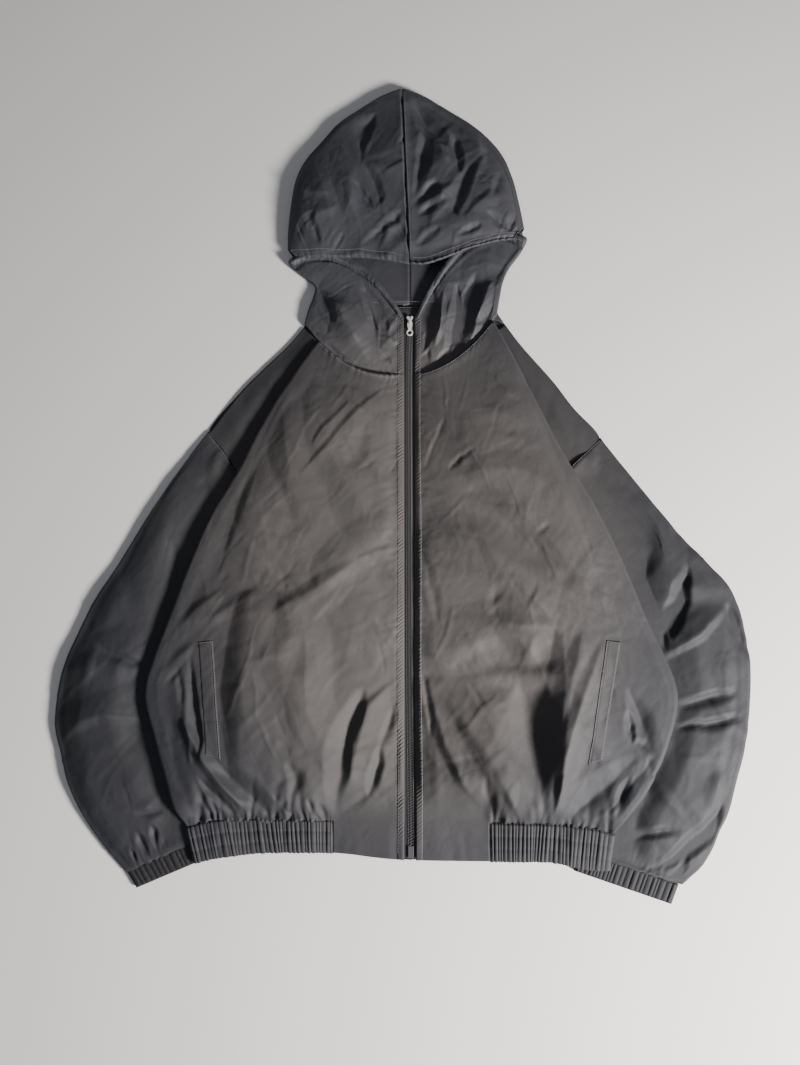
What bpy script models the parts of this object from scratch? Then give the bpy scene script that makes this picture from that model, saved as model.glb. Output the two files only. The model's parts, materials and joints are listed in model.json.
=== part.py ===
"""Hooded windbreaker jacket, laid out flat on its back with the zip closed.

Metres, +Z up, the hood towards +Y. X is 0 along the zip and Z is 0 at the floor.
Left and right are the wearer's, so the wearer's right side is at -X.

From the floor up, the layers are: the sleeves and the hood's back, the body's back
(which climbs over the sleeves at its sides), the shoulder stretches of the fronts,
the fronts with their edges rolled under, and the hood's crown over its front.
"""

import math
from types import SimpleNamespace

import bpy
import numpy as np
from mathutils import Vector

# Cloth and the space between pieces
CLOTH = 0.0012
HEM_CLOTH = 0.0022
GAP = 0.0003
SEAM = 0.0005
LAYER = CLOTH + GAP

# The heights that the layers share
SLEEVE_LOW = 0.0066
BODY_LIFT = SLEEVE_LOW + 0.0010
LIFT_RUN = 0.030
LIFT_CLEAR = 0.004
FRONT_REST = 0.0054
EDGE_LIP = 0.020

# The zip
ZIP_EDGE = 0.0075
ZIP_FOOT = -0.2930
ZIP_TOP = 0.3600
TAPE_WIDTH = 0.0130
TAPE_HEIGHT = 0.0010
TAPE_REST = FRONT_REST - CLOTH - GAP - TAPE_HEIGHT
CHAIN_WIDTH = 0.0065
CHAIN_HEIGHT = 0.0026
CHAIN_OVER_TAPE = 0.0006
CHAIN_LOW = TAPE_REST + TAPE_HEIGHT / 2 + CHAIN_OVER_TAPE - CHAIN_HEIGHT / 2
CHAIN_TOP = ZIP_TOP - 0.0045
SLIDER_LENGTH = 0.0125
SLIDER_FOOT = ZIP_TOP - SLIDER_LENGTH
SLIDER_PLATE = 0.0010
SLIDER_REST = CHAIN_LOW + CHAIN_HEIGHT + GAP
HINGE_Y = SLIDER_FOOT + 0.0030
PULL_LENGTH = 0.0175
PULL_THICKNESS = 0.0009
RING_RADIUS = 0.0043
RING_HOLE = 0.0025

# Elastic
HEM_RIBS_RIGHT = 36
HEM_RIBS_LEFT = 32
HEM_RIB_HEIGHT = 0.0017
CUFF_RIBS_RIGHT = 18
CUFF_RIBS_LEFT = 22
CUFF_RIB_HEIGHT = 0.0013
CUFF_CLOTH = 0.0018
CUFF_HEIGHT = 0.0055
TAB_WIDTH = 0.0890

# Pocket welts
WELT_WIDTH = 0.0165
WELT_CLOTH = 0.0010

# A fold is a soft ridge, or a trough where its rise is negative, that fades to its ends
FOLD = ("x0", "y0", "x1", "y1", "width", "rise")

RIGHT_FRONT_FOLDS = [
    (-0.170, -0.022, -0.060, 0.050, 0.011, -0.005),
    (-0.135, 0.145, -0.022, 0.272, 0.012, -0.003),
    (-0.090, 0.060, -0.150, 0.170, 0.030, 0.004),
    (-0.255, -0.165, -0.135, -0.262, 0.013, -0.010),
    (-0.225, -0.140, -0.110, -0.240, 0.020, 0.006),
    (-0.100, -0.225, -0.028, -0.100, 0.014, -0.008),
    (-0.075, -0.235, -0.045, -0.130, 0.016, 0.005),
    (-0.195, -0.255, -0.205, -0.205, 0.010, 0.004),
    (-0.285, -0.060, -0.240, 0.020, 0.012, -0.004),
]
LEFT_FRONT_FOLDS = [
    (0.030, 0.215, 0.225, -0.010, 0.024, 0.007),
    (0.038, 0.165, 0.170, -0.050, 0.018, -0.007),
    (0.075, 0.015, 0.135, 0.035, 0.012, 0.005),
    (0.166, -0.030, 0.158, -0.265, 0.018, -0.012),
    (0.110, -0.100, 0.120, -0.250, 0.024, 0.006),
    (0.040, -0.080, 0.075, -0.235, 0.013, -0.005),
    (0.205, -0.250, 0.285, -0.150, 0.012, -0.009),
    (0.190, -0.235, 0.235, -0.150, 0.015, 0.005),
    (0.075, 0.300, 0.110, 0.150, 0.014, -0.003),
]
RIGHT_SLEEVE_FOLDS = [
    (-0.395, -0.060, -0.320, -0.075, 0.012, -0.004),
    (-0.415, -0.150, -0.330, -0.150, 0.012, -0.005),
    (-0.360, -0.265, -0.290, -0.180, 0.012, 0.004),
    (-0.330, -0.290, -0.300, -0.220, 0.010, -0.004),
]
LEFT_SLEEVE_FOLDS = [
    (0.300, 0.020, 0.380, -0.020, 0.012, 0.005),
    (0.285, -0.010, 0.350, -0.060, 0.012, -0.005),
    (0.290, -0.130, 0.385, -0.115, 0.012, -0.004),
    (0.255, -0.290, 0.360, -0.190, 0.012, -0.006),
    (0.270, -0.240, 0.345, -0.170, 0.014, 0.004),
]
RIGHT_HOOD_FOLDS = [
    (-0.060, 0.620, -0.050, 0.500, 0.012, -0.005),
    (-0.085, 0.600, -0.080, 0.500, 0.014, 0.004),
    (-0.130, 0.470, -0.060, 0.450, 0.009, -0.003),
]
LEFT_HOOD_FOLDS = [
    (0.020, 0.640, 0.060, 0.560, 0.011, -0.005),
    (0.045, 0.640, 0.085, 0.580, 0.012, 0.004),
    (0.010, 0.490, 0.130, 0.590, 0.012, -0.005),
    (0.030, 0.470, 0.140, 0.530, 0.012, 0.004),
]
RIGHT_NECK_FOLDS = [
    (-0.120, 0.400, -0.075, 0.310, 0.010, -0.004),
    (-0.095, 0.400, -0.055, 0.300, 0.010, 0.005),
    (-0.065, 0.395, -0.035, 0.300, 0.009, -0.005),
]
LEFT_NECK_FOLDS = [
    (0.052, 0.405, 0.030, 0.290, 0.009, 0.005),
    (0.080, 0.410, 0.060, 0.300, 0.010, -0.005),
    (0.105, 0.415, 0.090, 0.330, 0.010, 0.003),
]

# Fronts, from the hem to the neck seam. s_pocket is where the welt's inner edge
# crosses the section, as a share of its length.
FRONT = ("y_in", "x_out", "y_out", "z_out", "z_lip", "rise", "bow", "s_pocket")
RIGHT_FRONT = [
    (-0.2515, -0.2570, -0.2570, 0.0135, 0.0100, 0.0000, 0.000, 0.760),
    (-0.2350, -0.2720, -0.2360, 0.0215, 0.0096, 0.0050, 0.000, 0.755),
    (-0.2050, -0.2840, -0.2030, 0.0230, 0.0096, 0.0070, 0.000, 0.750),
    (-0.1650, -0.2990, -0.1600, 0.0220, 0.0096, 0.0060, 0.000, 0.737),
    (-0.1250, -0.3130, -0.1120, 0.0210, 0.0096, 0.0050, 0.000, 0.720),
    (-0.0800, -0.3050, -0.0700, 0.0205, 0.0096, 0.0045, 0.000, 0.757),
    (-0.0350, -0.2870, -0.0180, 0.0200, 0.0096, 0.0040, 0.000, 0.800),
    (0.0150, -0.2680, 0.0400, 0.0190, 0.0096, 0.0035, 0.000, 0.805),
    (0.0650, -0.2430, 0.1040, 0.0180, 0.0090, 0.0050, 0.000, 0.800),
    (0.1200, -0.2120, 0.1580, 0.0165, 0.0072, 0.0045, 0.000, 0.795),
    (0.1750, -0.1880, 0.2120, 0.0150, 0.0056, 0.0040, -0.003, 0.790),
    (0.2300, -0.1530, 0.2720, 0.0140, 0.0052, 0.0030, -0.010, 0.785),
    (0.2836, -0.1165, 0.3271, 0.0120, 0.0050, 0.0010, -0.0187, 0.780),
]
LEFT_FRONT = [
    (-0.2525, 0.2280, -0.2615, 0.0135, 0.0100, 0.0000, 0.000, 0.730),
    (-0.2350, 0.2450, -0.2430, 0.0215, 0.0096, 0.0050, 0.000, 0.727),
    (-0.2050, 0.2690, -0.2130, 0.0230, 0.0096, 0.0070, 0.000, 0.725),
    (-0.1650, 0.2910, -0.1680, 0.0220, 0.0096, 0.0060, 0.000, 0.700),
    (-0.1200, 0.3055, -0.1130, 0.0210, 0.0096, 0.0050, 0.000, 0.700),
    (-0.0750, 0.2910, -0.0600, 0.0205, 0.0096, 0.0045, 0.000, 0.783),
    (-0.0300, 0.2720, -0.0160, 0.0200, 0.0096, 0.0040, 0.000, 0.825),
    (0.0200, 0.2500, 0.0450, 0.0190, 0.0096, 0.0035, 0.000, 0.825),
    (0.0700, 0.2225, 0.1080, 0.0180, 0.0090, 0.0050, 0.000, 0.815),
    (0.1250, 0.1920, 0.1660, 0.0165, 0.0072, 0.0045, 0.000, 0.805),
    (0.1800, 0.1640, 0.2250, 0.0150, 0.0056, 0.0040, -0.003, 0.795),
    (0.2350, 0.1340, 0.2920, 0.0140, 0.0052, 0.0030, -0.009, 0.785),
    (0.2836, 0.1060, 0.3500, 0.0120, 0.0050, 0.0010, -0.0165, 0.780),
]
FRONT_STEPS = 2
FRONT_CELLS_TO_POCKET = 12
FRONT_CELLS_PAST_POCKET = 3
WELT_FIRST_ROW = 5
WELT_LAST_ROW = 11

# Armhole seams, from the underarm to the shoulder's tip
ARMHOLE = ("x", "y")
RIGHT_ARMHOLE = [
    (-0.2145, 0.0160),
    (-0.2030, 0.0550),
    (-0.1990, 0.1000),
    (-0.2070, 0.1480),
    (-0.2320, 0.1880),
    (-0.2535, 0.2130),
]
LEFT_ARMHOLE = [
    (0.2105, 0.0160),
    (0.1960, 0.0550),
    (0.1880, 0.1000),
    (0.1920, 0.1480),
    (0.2130, 0.1780),
    (0.2335, 0.1985),
]

# Back, from the hem to the back neck seam. The rows at the armholes take their ends
# from the armhole tables.
BACK = ("x_right", "y_right", "x_left", "y_left", "bow", "lift")
BACK_BELOW_ARMS = [
    (-0.2465, -0.2520, 0.2185, -0.2560, 0.000, 1.0),
    (-0.2600, -0.2200, 0.2540, -0.2220, 0.000, 1.0),
    (-0.2760, -0.1850, 0.2720, -0.1850, 0.000, 1.0),
    (-0.2900, -0.1400, 0.2840, -0.1400, 0.000, 1.0),
    (-0.2970, -0.1000, 0.2910, -0.1000, 0.000, 1.0),
    (-0.2870, -0.0620, 0.2790, -0.0620, 0.000, 1.0),
    (-0.2690, -0.0320, 0.2620, -0.0320, 0.000, 1.0),
    (-0.2460, -0.0120, 0.2390, -0.0120, 0.000, 1.0),
    (-0.2185, 0.0085, 0.2145, 0.0085, 0.000, 0.65),
]
BACK_SHOULDERS = [
    (-0.2160, 0.2630, 0.2030, 0.2370, 0.000, 0.0),
    (-0.1860, 0.2950, 0.1780, 0.2730, 0.005, 0.0),
    (-0.1560, 0.3250, 0.1420, 0.3180, 0.016, 0.0),
    (-0.1360, 0.3495, 0.1200, 0.3500, 0.0287, 0.0),
]

# The stretch of each front that shows on the shoulder, beyond the front's rolled edge
SHOULDER = ("x_in", "y_in", "x_out", "y_out")
RIGHT_SHOULDER = [
    (-0.1970, 0.1520, -0.2515, 0.2125),
    (-0.1680, 0.2000, -0.2150, 0.2625),
    (-0.1460, 0.2430, -0.1850, 0.2945),
    (-0.1180, 0.2900, -0.1555, 0.3240),
    (-0.1010, 0.3110, -0.1355, 0.3485),
]
LEFT_SHOULDER = [
    (0.1770, 0.1470, 0.2320, 0.1975),
    (0.1500, 0.2050, 0.2020, 0.2365),
    (0.1280, 0.2550, 0.1770, 0.2725),
    (0.1090, 0.2990, 0.1415, 0.3170),
    (0.0940, 0.3260, 0.1190, 0.3480),
]

# Sleeves, from the armhole to the cuff seam. arch is how much of the armhole's curve the
# section has, and s_low is the share of its length that the body covers.
SLEEVE = ("x_in", "y_in", "x_out", "y_out", "z_low", "z_high", "z_out", "s_low", "arch")
RIGHT_SLEEVE = [
    (-0.2178, 0.0100, -0.2541, 0.2122, 0.0027, 0.0027, 0.0027, 0.60, 1.00),
    (-0.2210, -0.0180, -0.2860, 0.1650, 0.0035, 0.0085, 0.0050, 0.55, -0.80),
    (-0.2260, -0.0480, -0.3230, 0.1060, 0.0050, 0.0120, 0.0070, 0.50, -0.50),
    (-0.2300, -0.0760, -0.3610, 0.0400, 0.0066, 0.0150, 0.0080, 0.45, -0.20),
    (-0.2340, -0.1020, -0.3930, -0.0160, 0.0066, 0.0170, 0.0090, 0.45, 0.00),
    (-0.2370, -0.1280, -0.4160, -0.0780, 0.0066, 0.0180, 0.0090, 0.45, 0.00),
    (-0.2385, -0.1560, -0.4240, -0.1380, 0.0066, 0.0185, 0.0090, 0.42, 0.00),
    (-0.2380, -0.1850, -0.4130, -0.1820, 0.0066, 0.0185, 0.0090, 0.38, 0.00),
    (-0.2360, -0.2130, -0.3980, -0.2220, 0.0066, 0.0180, 0.0090, 0.33, 0.00),
    (-0.2320, -0.2360, -0.3750, -0.2600, 0.0066, 0.0160, 0.0080, 0.30, 0.00),
    (-0.2270, -0.2520, -0.3480, -0.2910, 0.0066, 0.0120, 0.0070, 0.36, 0.00),
    (-0.2225, -0.2635, -0.3280, -0.3095, 0.0066, 0.0066, 0.0060, 0.40, 0.00),
]
LEFT_SLEEVE = [
    (0.2140, 0.0100, 0.2343, 0.1978, 0.0027, 0.0027, 0.0027, 0.60, 1.00),
    (0.2150, -0.0180, 0.2700, 0.1480, 0.0035, 0.0085, 0.0050, 0.55, -0.80),
    (0.2190, -0.0460, 0.3100, 0.0930, 0.0050, 0.0120, 0.0070, 0.50, -0.50),
    (0.2220, -0.0720, 0.3500, 0.0450, 0.0066, 0.0150, 0.0080, 0.45, -0.20),
    (0.2250, -0.0960, 0.3800, 0.0060, 0.0066, 0.0170, 0.0090, 0.45, 0.00),
    (0.2270, -0.1200, 0.3925, -0.0450, 0.0066, 0.0180, 0.0090, 0.45, 0.00),
    (0.2280, -0.1460, 0.3920, -0.1020, 0.0066, 0.0185, 0.0090, 0.45, 0.00),
    (0.2260, -0.1750, 0.3840, -0.1560, 0.0066, 0.0185, 0.0090, 0.42, 0.00),
    (0.2210, -0.2060, 0.3690, -0.2080, 0.0066, 0.0180, 0.0090, 0.36, 0.00),
    (0.2120, -0.2360, 0.3520, -0.2530, 0.0066, 0.0160, 0.0080, 0.30, 0.00),
    (0.2010, -0.2610, 0.3270, -0.2960, 0.0066, 0.0120, 0.0070, 0.34, 0.00),
    (0.1900, -0.2810, 0.3030, -0.3165, 0.0066, 0.0066, 0.0060, 0.40, 0.00),
]
SLEEVE_CELLS = 13
SLEEVE_LIP = 0.008

# Cuffs, from the sleeve's end to the hand's edge
CUFF = ("x_in", "y_in", "x_out", "y_out")
RIGHT_CUFF = [
    (-0.2230, -0.2650, -0.3270, -0.3110),
    (-0.2130, -0.2865, -0.3145, -0.3285),
]
LEFT_CUFF = [
    (0.1905, -0.2830, 0.2985, -0.3185),
    (0.1825, -0.3045, 0.2895, -0.3390),
]
CUFF_ROWS = 3

# Hems: how far from the zip the bands' upper and lower corners are, and their edges
HEM_CORNERS = {-1: (0.2570, 0.2455), 1: (0.2275, 0.2205)}
HEM_BACK_CORNERS = {-1: (0.2460, 0.2390), 1: (0.2180, 0.2130)}
HEM_LINE = ("x", "y_top", "y_foot")
RIGHT_HEM_LINE = [
    (0.0000, -0.2530, -0.2960),
    (0.0400, -0.2530, -0.2930),
    (0.0700, -0.2530, -0.2895),
    (0.1000, -0.2525, -0.2878),
    (0.1400, -0.2520, -0.2875),
    (0.1700, -0.2515, -0.2883),
    (0.2000, -0.2515, -0.2912),
    (0.2300, -0.2535, -0.2957),
    (0.2600, -0.2610, -0.3040),
]
LEFT_HEM_LINE = [
    (0.0000, -0.2540, -0.2955),
    (0.0600, -0.2540, -0.2958),
    (0.0900, -0.2540, -0.2957),
    (0.1200, -0.2543, -0.2952),
    (0.1500, -0.2548, -0.2948),
    (0.1700, -0.2552, -0.2970),
    (0.1900, -0.2570, -0.3010),
    (0.2100, -0.2600, -0.3030),
    (0.2300, -0.2650, -0.3032),
]
HEM_REST = FRONT_REST - CLOTH
HEM_PUFF = 0.0030

# Hood crown: each section runs from the crown's edge up to the hood's outline
CROWN = ("x_in", "y_in", "x_out", "y_out", "z_in", "z_out", "rise")
RIGHT_CROWN = [
    (-0.0002, 0.4275, -0.0106, 0.6830, 0.0185, 0.0120, 0.0130),
    (-0.0220, 0.4320, -0.0380, 0.6720, 0.0185, 0.0120, 0.0135),
    (-0.0440, 0.4360, -0.0660, 0.6540, 0.0180, 0.0120, 0.0135),
    (-0.0650, 0.4385, -0.0940, 0.6330, 0.0175, 0.0120, 0.0120),
    (-0.0870, 0.4390, -0.1190, 0.6030, 0.0170, 0.0120, 0.0100),
    (-0.1080, 0.4395, -0.1380, 0.5790, 0.0165, 0.0120, 0.0080),
    (-0.1260, 0.4400, -0.1500, 0.5500, 0.0160, 0.0120, 0.0060),
    (-0.1360, 0.4405, -0.1560, 0.5100, 0.0158, 0.0120, 0.0040),
    (-0.1440, 0.4420, -0.1582, 0.4780, 0.0155, 0.0120, 0.0015),
    (-0.1490, 0.4435, -0.1580, 0.4550, 0.0152, 0.0120, 0.0005),
]
LEFT_CROWN = [
    (0.0002, 0.4275, -0.0094, 0.6830, 0.0185, 0.0120, 0.0130),
    (0.0200, 0.4260, 0.0210, 0.6690, 0.0185, 0.0120, 0.0135),
    (0.0400, 0.4320, 0.0500, 0.6490, 0.0180, 0.0120, 0.0135),
    (0.0580, 0.4390, 0.0790, 0.6280, 0.0175, 0.0120, 0.0120),
    (0.0770, 0.4470, 0.1050, 0.6030, 0.0170, 0.0120, 0.0100),
    (0.0950, 0.4520, 0.1240, 0.5750, 0.0165, 0.0120, 0.0080),
    (0.1110, 0.4560, 0.1360, 0.5400, 0.0160, 0.0120, 0.0060),
    (0.1240, 0.4580, 0.1430, 0.5040, 0.0158, 0.0120, 0.0040),
    (0.1330, 0.4590, 0.1475, 0.4760, 0.0155, 0.0120, 0.0010),
]
CROWN_CELLS = 9

# Hood front: each section runs from the zip to the side, the face edge first
NECK = ("y_in", "x_out", "y_out", "z_out", "rise", "bow")
RIGHT_NECK = [
    (0.3600, -0.1500, 0.4420, 0.0120, 0.0020, 0.0400),
    (0.3565, -0.1560, 0.4330, 0.0125, 0.0035, 0.0340),
    (0.3520, -0.1400, 0.4185, 0.0115, 0.0025, 0.0260),
    (0.3460, -0.1230, 0.4040, 0.0095, 0.0015, 0.0160),
    (0.3300, -0.1240, 0.3880, 0.0105, 0.0060, 0.0080),
    (0.3080, -0.1300, 0.3700, 0.0105, 0.0060, -0.0060),
    (0.2842, -0.1350, 0.3510, 0.0080, 0.0010, -0.0260),
]
LEFT_NECK = [
    (0.3560, 0.1440, 0.4650, 0.0120, 0.0020, 0.0520),
    (0.3525, 0.1500, 0.4590, 0.0125, 0.0035, 0.0360),
    (0.3480, 0.1430, 0.4440, 0.0115, 0.0025, 0.0180),
    (0.3420, 0.1270, 0.4220, 0.0095, 0.0015, 0.0080),
    (0.3270, 0.1185, 0.4020, 0.0105, 0.0060, 0.0020),
    (0.3060, 0.1145, 0.3830, 0.0105, 0.0060, -0.0070),
    (0.2842, 0.1100, 0.3570, 0.0080, 0.0010, -0.0180),
]
NECK_STEPS = 2
NECK_CELLS = 9
NECK_LIP = 0.008
HOOD_LIP_REST = LAYER + GAP

# Hood back: each section runs from the centre seam to the side. The neck seam, which
# comes first, takes its points from the back.
HOOD_BACK = ("y_in", "x_out", "y_out", "bow")
RIGHT_HOOD_BACK = [
    (0.3950, -0.1280, 0.3700, 0.0070),
    (0.4150, -0.1190, 0.4000, 0.0040),
    (0.4300, -0.1380, 0.4230, 0.0000),
    (0.4450, -0.1510, 0.4400, 0.0000),
    (0.4900, -0.1540, 0.4900, 0.0000),
    (0.5400, -0.1490, 0.5400, 0.0000),
    (0.5900, -0.1270, 0.5880, 0.0000),
    (0.6300, -0.0930, 0.6260, 0.0000),
    (0.6600, -0.0530, 0.6550, 0.0000),
    (0.6770, -0.0260, 0.6730, 0.0000),
]
LEFT_HOOD_BACK = [
    (0.3950, 0.1100, 0.3700, 0.0070),
    (0.4150, 0.1130, 0.4000, 0.0040),
    (0.4330, 0.1200, 0.4220, 0.0000),
    (0.4480, 0.1380, 0.4440, 0.0000),
    (0.4620, 0.1460, 0.4600, 0.0000),
    (0.4900, 0.1440, 0.4880, 0.0000),
    (0.5400, 0.1320, 0.5380, 0.0000),
    (0.5900, 0.1080, 0.5880, 0.0000),
    (0.6300, 0.0690, 0.6260, 0.0000),
    (0.6580, 0.0330, 0.6500, 0.0000),
    (0.6740, 0.0060, 0.6690, 0.0000),
]
SEAM_LEAN = -0.0100
SEAM_FOOT = 0.4275
SEAM_LENGTH = 0.2555

# Colours: linear red, green and blue
CHARCOAL = (0.060, 0.056, 0.058)
SLATE = (0.048, 0.050, 0.058)
BLACK = (0.015, 0.015, 0.018)
SILVER = (0.62, 0.60, 0.57)

parts = bpy.data.collections.new("Windbreaker jacket")


def clear_scene():
    for leftover in list(bpy.data.objects):
        bpy.data.objects.remove(leftover, do_unlink=True)
    bpy.context.scene.collection.children.link(parts)


def finish(name, colour, roughness, metallic=0.0):
    """A piece's own material."""
    material = bpy.data.materials.new(name)
    material.use_nodes = True
    shader = material.node_tree.nodes["Principled BSDF"]
    shader.inputs["Base Color"].default_value = (*colour, 1)
    shader.inputs["Roughness"].default_value = roughness
    shader.inputs["Metallic"].default_value = metallic
    return material


# ---- Sections, edges and folds ----


def sections(names, table, steps=1):
    """The table's rows with smooth rows put between them, as named values."""
    rows = np.array(table, float)
    ends = np.vstack([2 * rows[0] - rows[1], rows, 2 * rows[-1] - rows[-2]])
    result = []
    for index in range(len(rows) - 1):
        before, start, end, after = ends[index:index + 4]
        for step in range(steps):
            t = step / steps
            bend = 2 * before - 5 * start + 4 * end - after
            twist = 3 * start - before - 3 * end + after
            row = start + 0.5 * ((end - before) * t + bend * t**2 + twist * t**3)
            result.append(row)
    result.append(rows[-1])
    return [SimpleNamespace(**dict(zip(names, row))) for row in result]


def smooth(t):
    """0 to 1 with level ends."""
    t = min(1.0, max(0.0, t))
    return t * t * (3 - 2 * t)


def fold_rise(x, y, folds):
    """The height that the folds add at a point."""
    total = 0.0
    for values in folds:
        fold = SimpleNamespace(**dict(zip(FOLD, values)))
        along = Vector((fold.x1 - fold.x0, fold.y1 - fold.y0))
        offset = Vector((x - fold.x0, y - fold.y0))
        t = offset.dot(along) / along.length_squared
        away = abs(offset.cross(along)) / along.length
        fade = max(0.0, 1 - (2 * t - 1) ** 2)
        total += fold.rise * fade * math.exp(-((away / fold.width) ** 2))
    return total


def rolled_edge(edge, out, top, bottom, lip):
    """Points that roll a cloth's edge down and back under itself.

    edge is the outermost point on plan, and out points away from the cloth.
    """
    radius = (top - bottom) / 2
    centre = edge - out * radius
    points = []
    for degrees in (45, 0, -45, -90):
        angle = math.radians(degrees)
        flat = centre + out * (radius * math.cos(angle))
        points.append(Vector((*flat, bottom + radius * (1 + math.sin(angle)))))
    flat = centre - out * lip
    points.append(Vector((*flat, bottom)))
    return points


def flat_columns(start, end, shares, bow):
    """Points on plan from start to end, bowed towards +Y."""
    columns = []
    for s in shares:
        point = start.lerp(end, s)
        point.y += bow * 4 * s * (1 - s)
        columns.append(point)
    return columns


def even(count):
    return [index / count for index in range(count + 1)]


# ---- Turning sections into cloth ----


def piece(name, mesh, material):
    """An object for one cut piece, in the jacket's collection."""
    mesh.materials.append(material)
    shape = bpy.data.objects.new(name, mesh)
    parts.objects.link(shape)
    mesh.shade_smooth()
    mesh.set_sharp_from_angle(angle=math.radians(50))
    return shape


def grid_faces(rows, columns, wrap, turned, start=0):
    """Faces between neighbouring sections, turned over where turned is true."""
    faces = []
    for row in range(rows - 1):
        for column in range(columns if wrap else columns - 1):
            beside = (column + 1) % columns
            low = start + row * columns
            high = low + columns
            face = (low + column, low + beside, high + beside, high + column)
            faces.append(face[::-1] if turned else face)
    return faces


def sheet(name, paths, material, thickness=CLOTH, turned=False, outwards=False):
    """One layer of cloth through the paths, thickened to one side."""
    points = [point for path in paths for point in path]
    mesh = bpy.data.meshes.new(name)
    faces = grid_faces(len(paths), len(paths[0]), False, turned)
    mesh.from_pydata(points, [], faces)
    shape = piece(name, mesh, material)
    wall = shape.modifiers.new("Wall", "SOLIDIFY")
    wall.thickness = thickness
    wall.offset = 1 if outwards else -1
    return shape


def closed_wall(name, outer, inner, material, wrap=False, turned=False):
    """A wall between two lofts of equal size, for a ribbed outside and a plain inside."""
    rows = len(outer)
    columns = len(outer[0])
    size = rows * columns
    points = [point for path in outer + inner for point in path]
    faces = grid_faces(rows, columns, wrap, turned)
    faces += grid_faces(rows, columns, wrap, not turned, size)
    rim = []
    for column in range(columns if wrap else columns - 1):
        beside = (column + 1) % columns
        rim.append((column, column + size, beside + size, beside))
        top = (rows - 1) * columns
        rim.append((top + beside, top + beside + size, top + column + size, top + column))
    if not wrap:
        for row in range(rows - 1):
            low = row * columns
            high = low + columns
            rim.append((high, high + size, low + size, low))
            last = columns - 1
            rim.append((low + last, low + last + size, high + last + size, high + last))
    faces += [face[::-1] if turned else face for face in rim]
    mesh = bpy.data.meshes.new(name)
    mesh.from_pydata(points, [], faces)
    return piece(name, mesh, material)


# ---- Body ----


def hem_y(side, x, share):
    """The hem bands' height on plan, from their foot at share 0 to their seam at 1."""
    rows = sections(HEM_LINE, RIGHT_HEM_LINE if side < 0 else LEFT_HEM_LINE, 4)
    across = [row.x for row in rows]
    foot = float(np.interp(abs(x), across, [row.y_foot for row in rows]))
    top = float(np.interp(abs(x), across, [row.y_top for row in rows]))
    return foot + (top - foot) * share


def front_paths(side, table, folds):
    """Sections of a front's outer face, each from the zip to the rolled edge."""
    paths = []
    for index, row in enumerate(sections(FRONT, table, FRONT_STEPS)):
        start = Vector((side * ZIP_EDGE, row.y_in))
        edge = Vector((row.x_out, row.y_out))
        out = (edge - start).normalized()
        end = edge - out * (row.z_out - row.z_lip) / 2
        welt_share = WELT_WIDTH / (end - start).length
        shares = [row.s_pocket * s for s in even(FRONT_CELLS_TO_POCKET)]
        past = row.s_pocket + welt_share
        shares += [past + (1 - past) * s for s in even(FRONT_CELLS_PAST_POCKET)]
        path = []
        for s, flat in zip(shares, flat_columns(start, end, shares, row.bow)):
            climb = 1 - (1 - min(1.0, s / 0.45)) ** 2
            z = FRONT_REST + (row.z_out - FRONT_REST) * climb
            z += row.rise * math.sin(math.pi * s)
            fade = min(1.0, s / 0.12, (1 - s) / 0.12)
            z += fade * min(1.0, row.rise / 0.0030) * fold_rise(flat.x, flat.y, folds)
            path.append(Vector((*flat, max(z, FRONT_REST))))
        lip = min(EDGE_LIP, 0.3 * (edge - start).length)
        path += rolled_edge(edge, out, row.z_out, row.z_lip, lip)
        if index == 0:
            for point in path:
                point.y = hem_y(side, point.x, 1) + SEAM
        paths.append(path)
    return paths


def build_front(word, side, table, folds):
    """A front, and the welt that lies on it, made from the front's own points."""
    paths = front_paths(side, table, folds)
    turned = side < 0
    sheet(f"front_{word}", paths, finish(f"front_{word}", CHARCOAL, 0.55), turned=turned)
    first = FRONT_CELLS_TO_POCKET
    welt = []
    for path in paths[WELT_FIRST_ROW:WELT_LAST_ROW + 1]:
        welt.append([point + Vector((0, 0, GAP)) for point in path[first:first + 2]])
    name = f"pocket_welt_{word}"
    sheet(name, welt, finish(name, CHARCOAL, 0.55), WELT_CLOTH, turned, outwards=True)


def build_shoulder(word, side, table):
    """The front's stretch on the shoulder, on top of the back."""
    paths = []
    for row in sections(SHOULDER, table, 2):
        start = Vector((row.x_in, row.y_in))
        end = Vector((row.x_out, row.y_out))
        path = []
        for s, flat in zip(even(5), flat_columns(start, end, even(5), 0)):
            rise = 0.0020 * math.sin(math.pi * smooth((s - 0.35) / 0.65))
            path.append(Vector((*flat, LAYER + CLOTH + rise)))
        paths.append(path)
    name = f"front_{word}_shoulder"
    sheet(name, paths, finish(name, CHARCOAL, 0.55), turned=side < 0)


def sleeve_edge(side, y):
    """How far from the zip the sleeve's or cuff's inner edge is at this height."""
    sleeve, cuff = (RIGHT_SLEEVE, RIGHT_CUFF) if side < 0 else (LEFT_SLEEVE, LEFT_CUFF)
    line = [(row[1], abs(row[0])) for row in reversed(cuff)]
    line += [(row[1], abs(row[0])) for row in reversed(sleeve)]
    heights, edges = zip(*line)
    return float(np.interp(y, heights, edges))


def half_columns(side, width, y, lift):
    """The shares of one half's columns, and how high each is over the sleeve."""
    foot, top = 0.6, 0.8
    if lift:
        top = min(0.975, (sleeve_edge(side, y) - LIFT_CLEAR) / width)
        foot = top - LIFT_RUN / width
    shares = (0, foot / 2, foot, (foot + top) / 2, top, 1)
    heights = (0, 0, 0, lift / 2, lift, lift)
    return zip(shares, heights)


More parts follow.
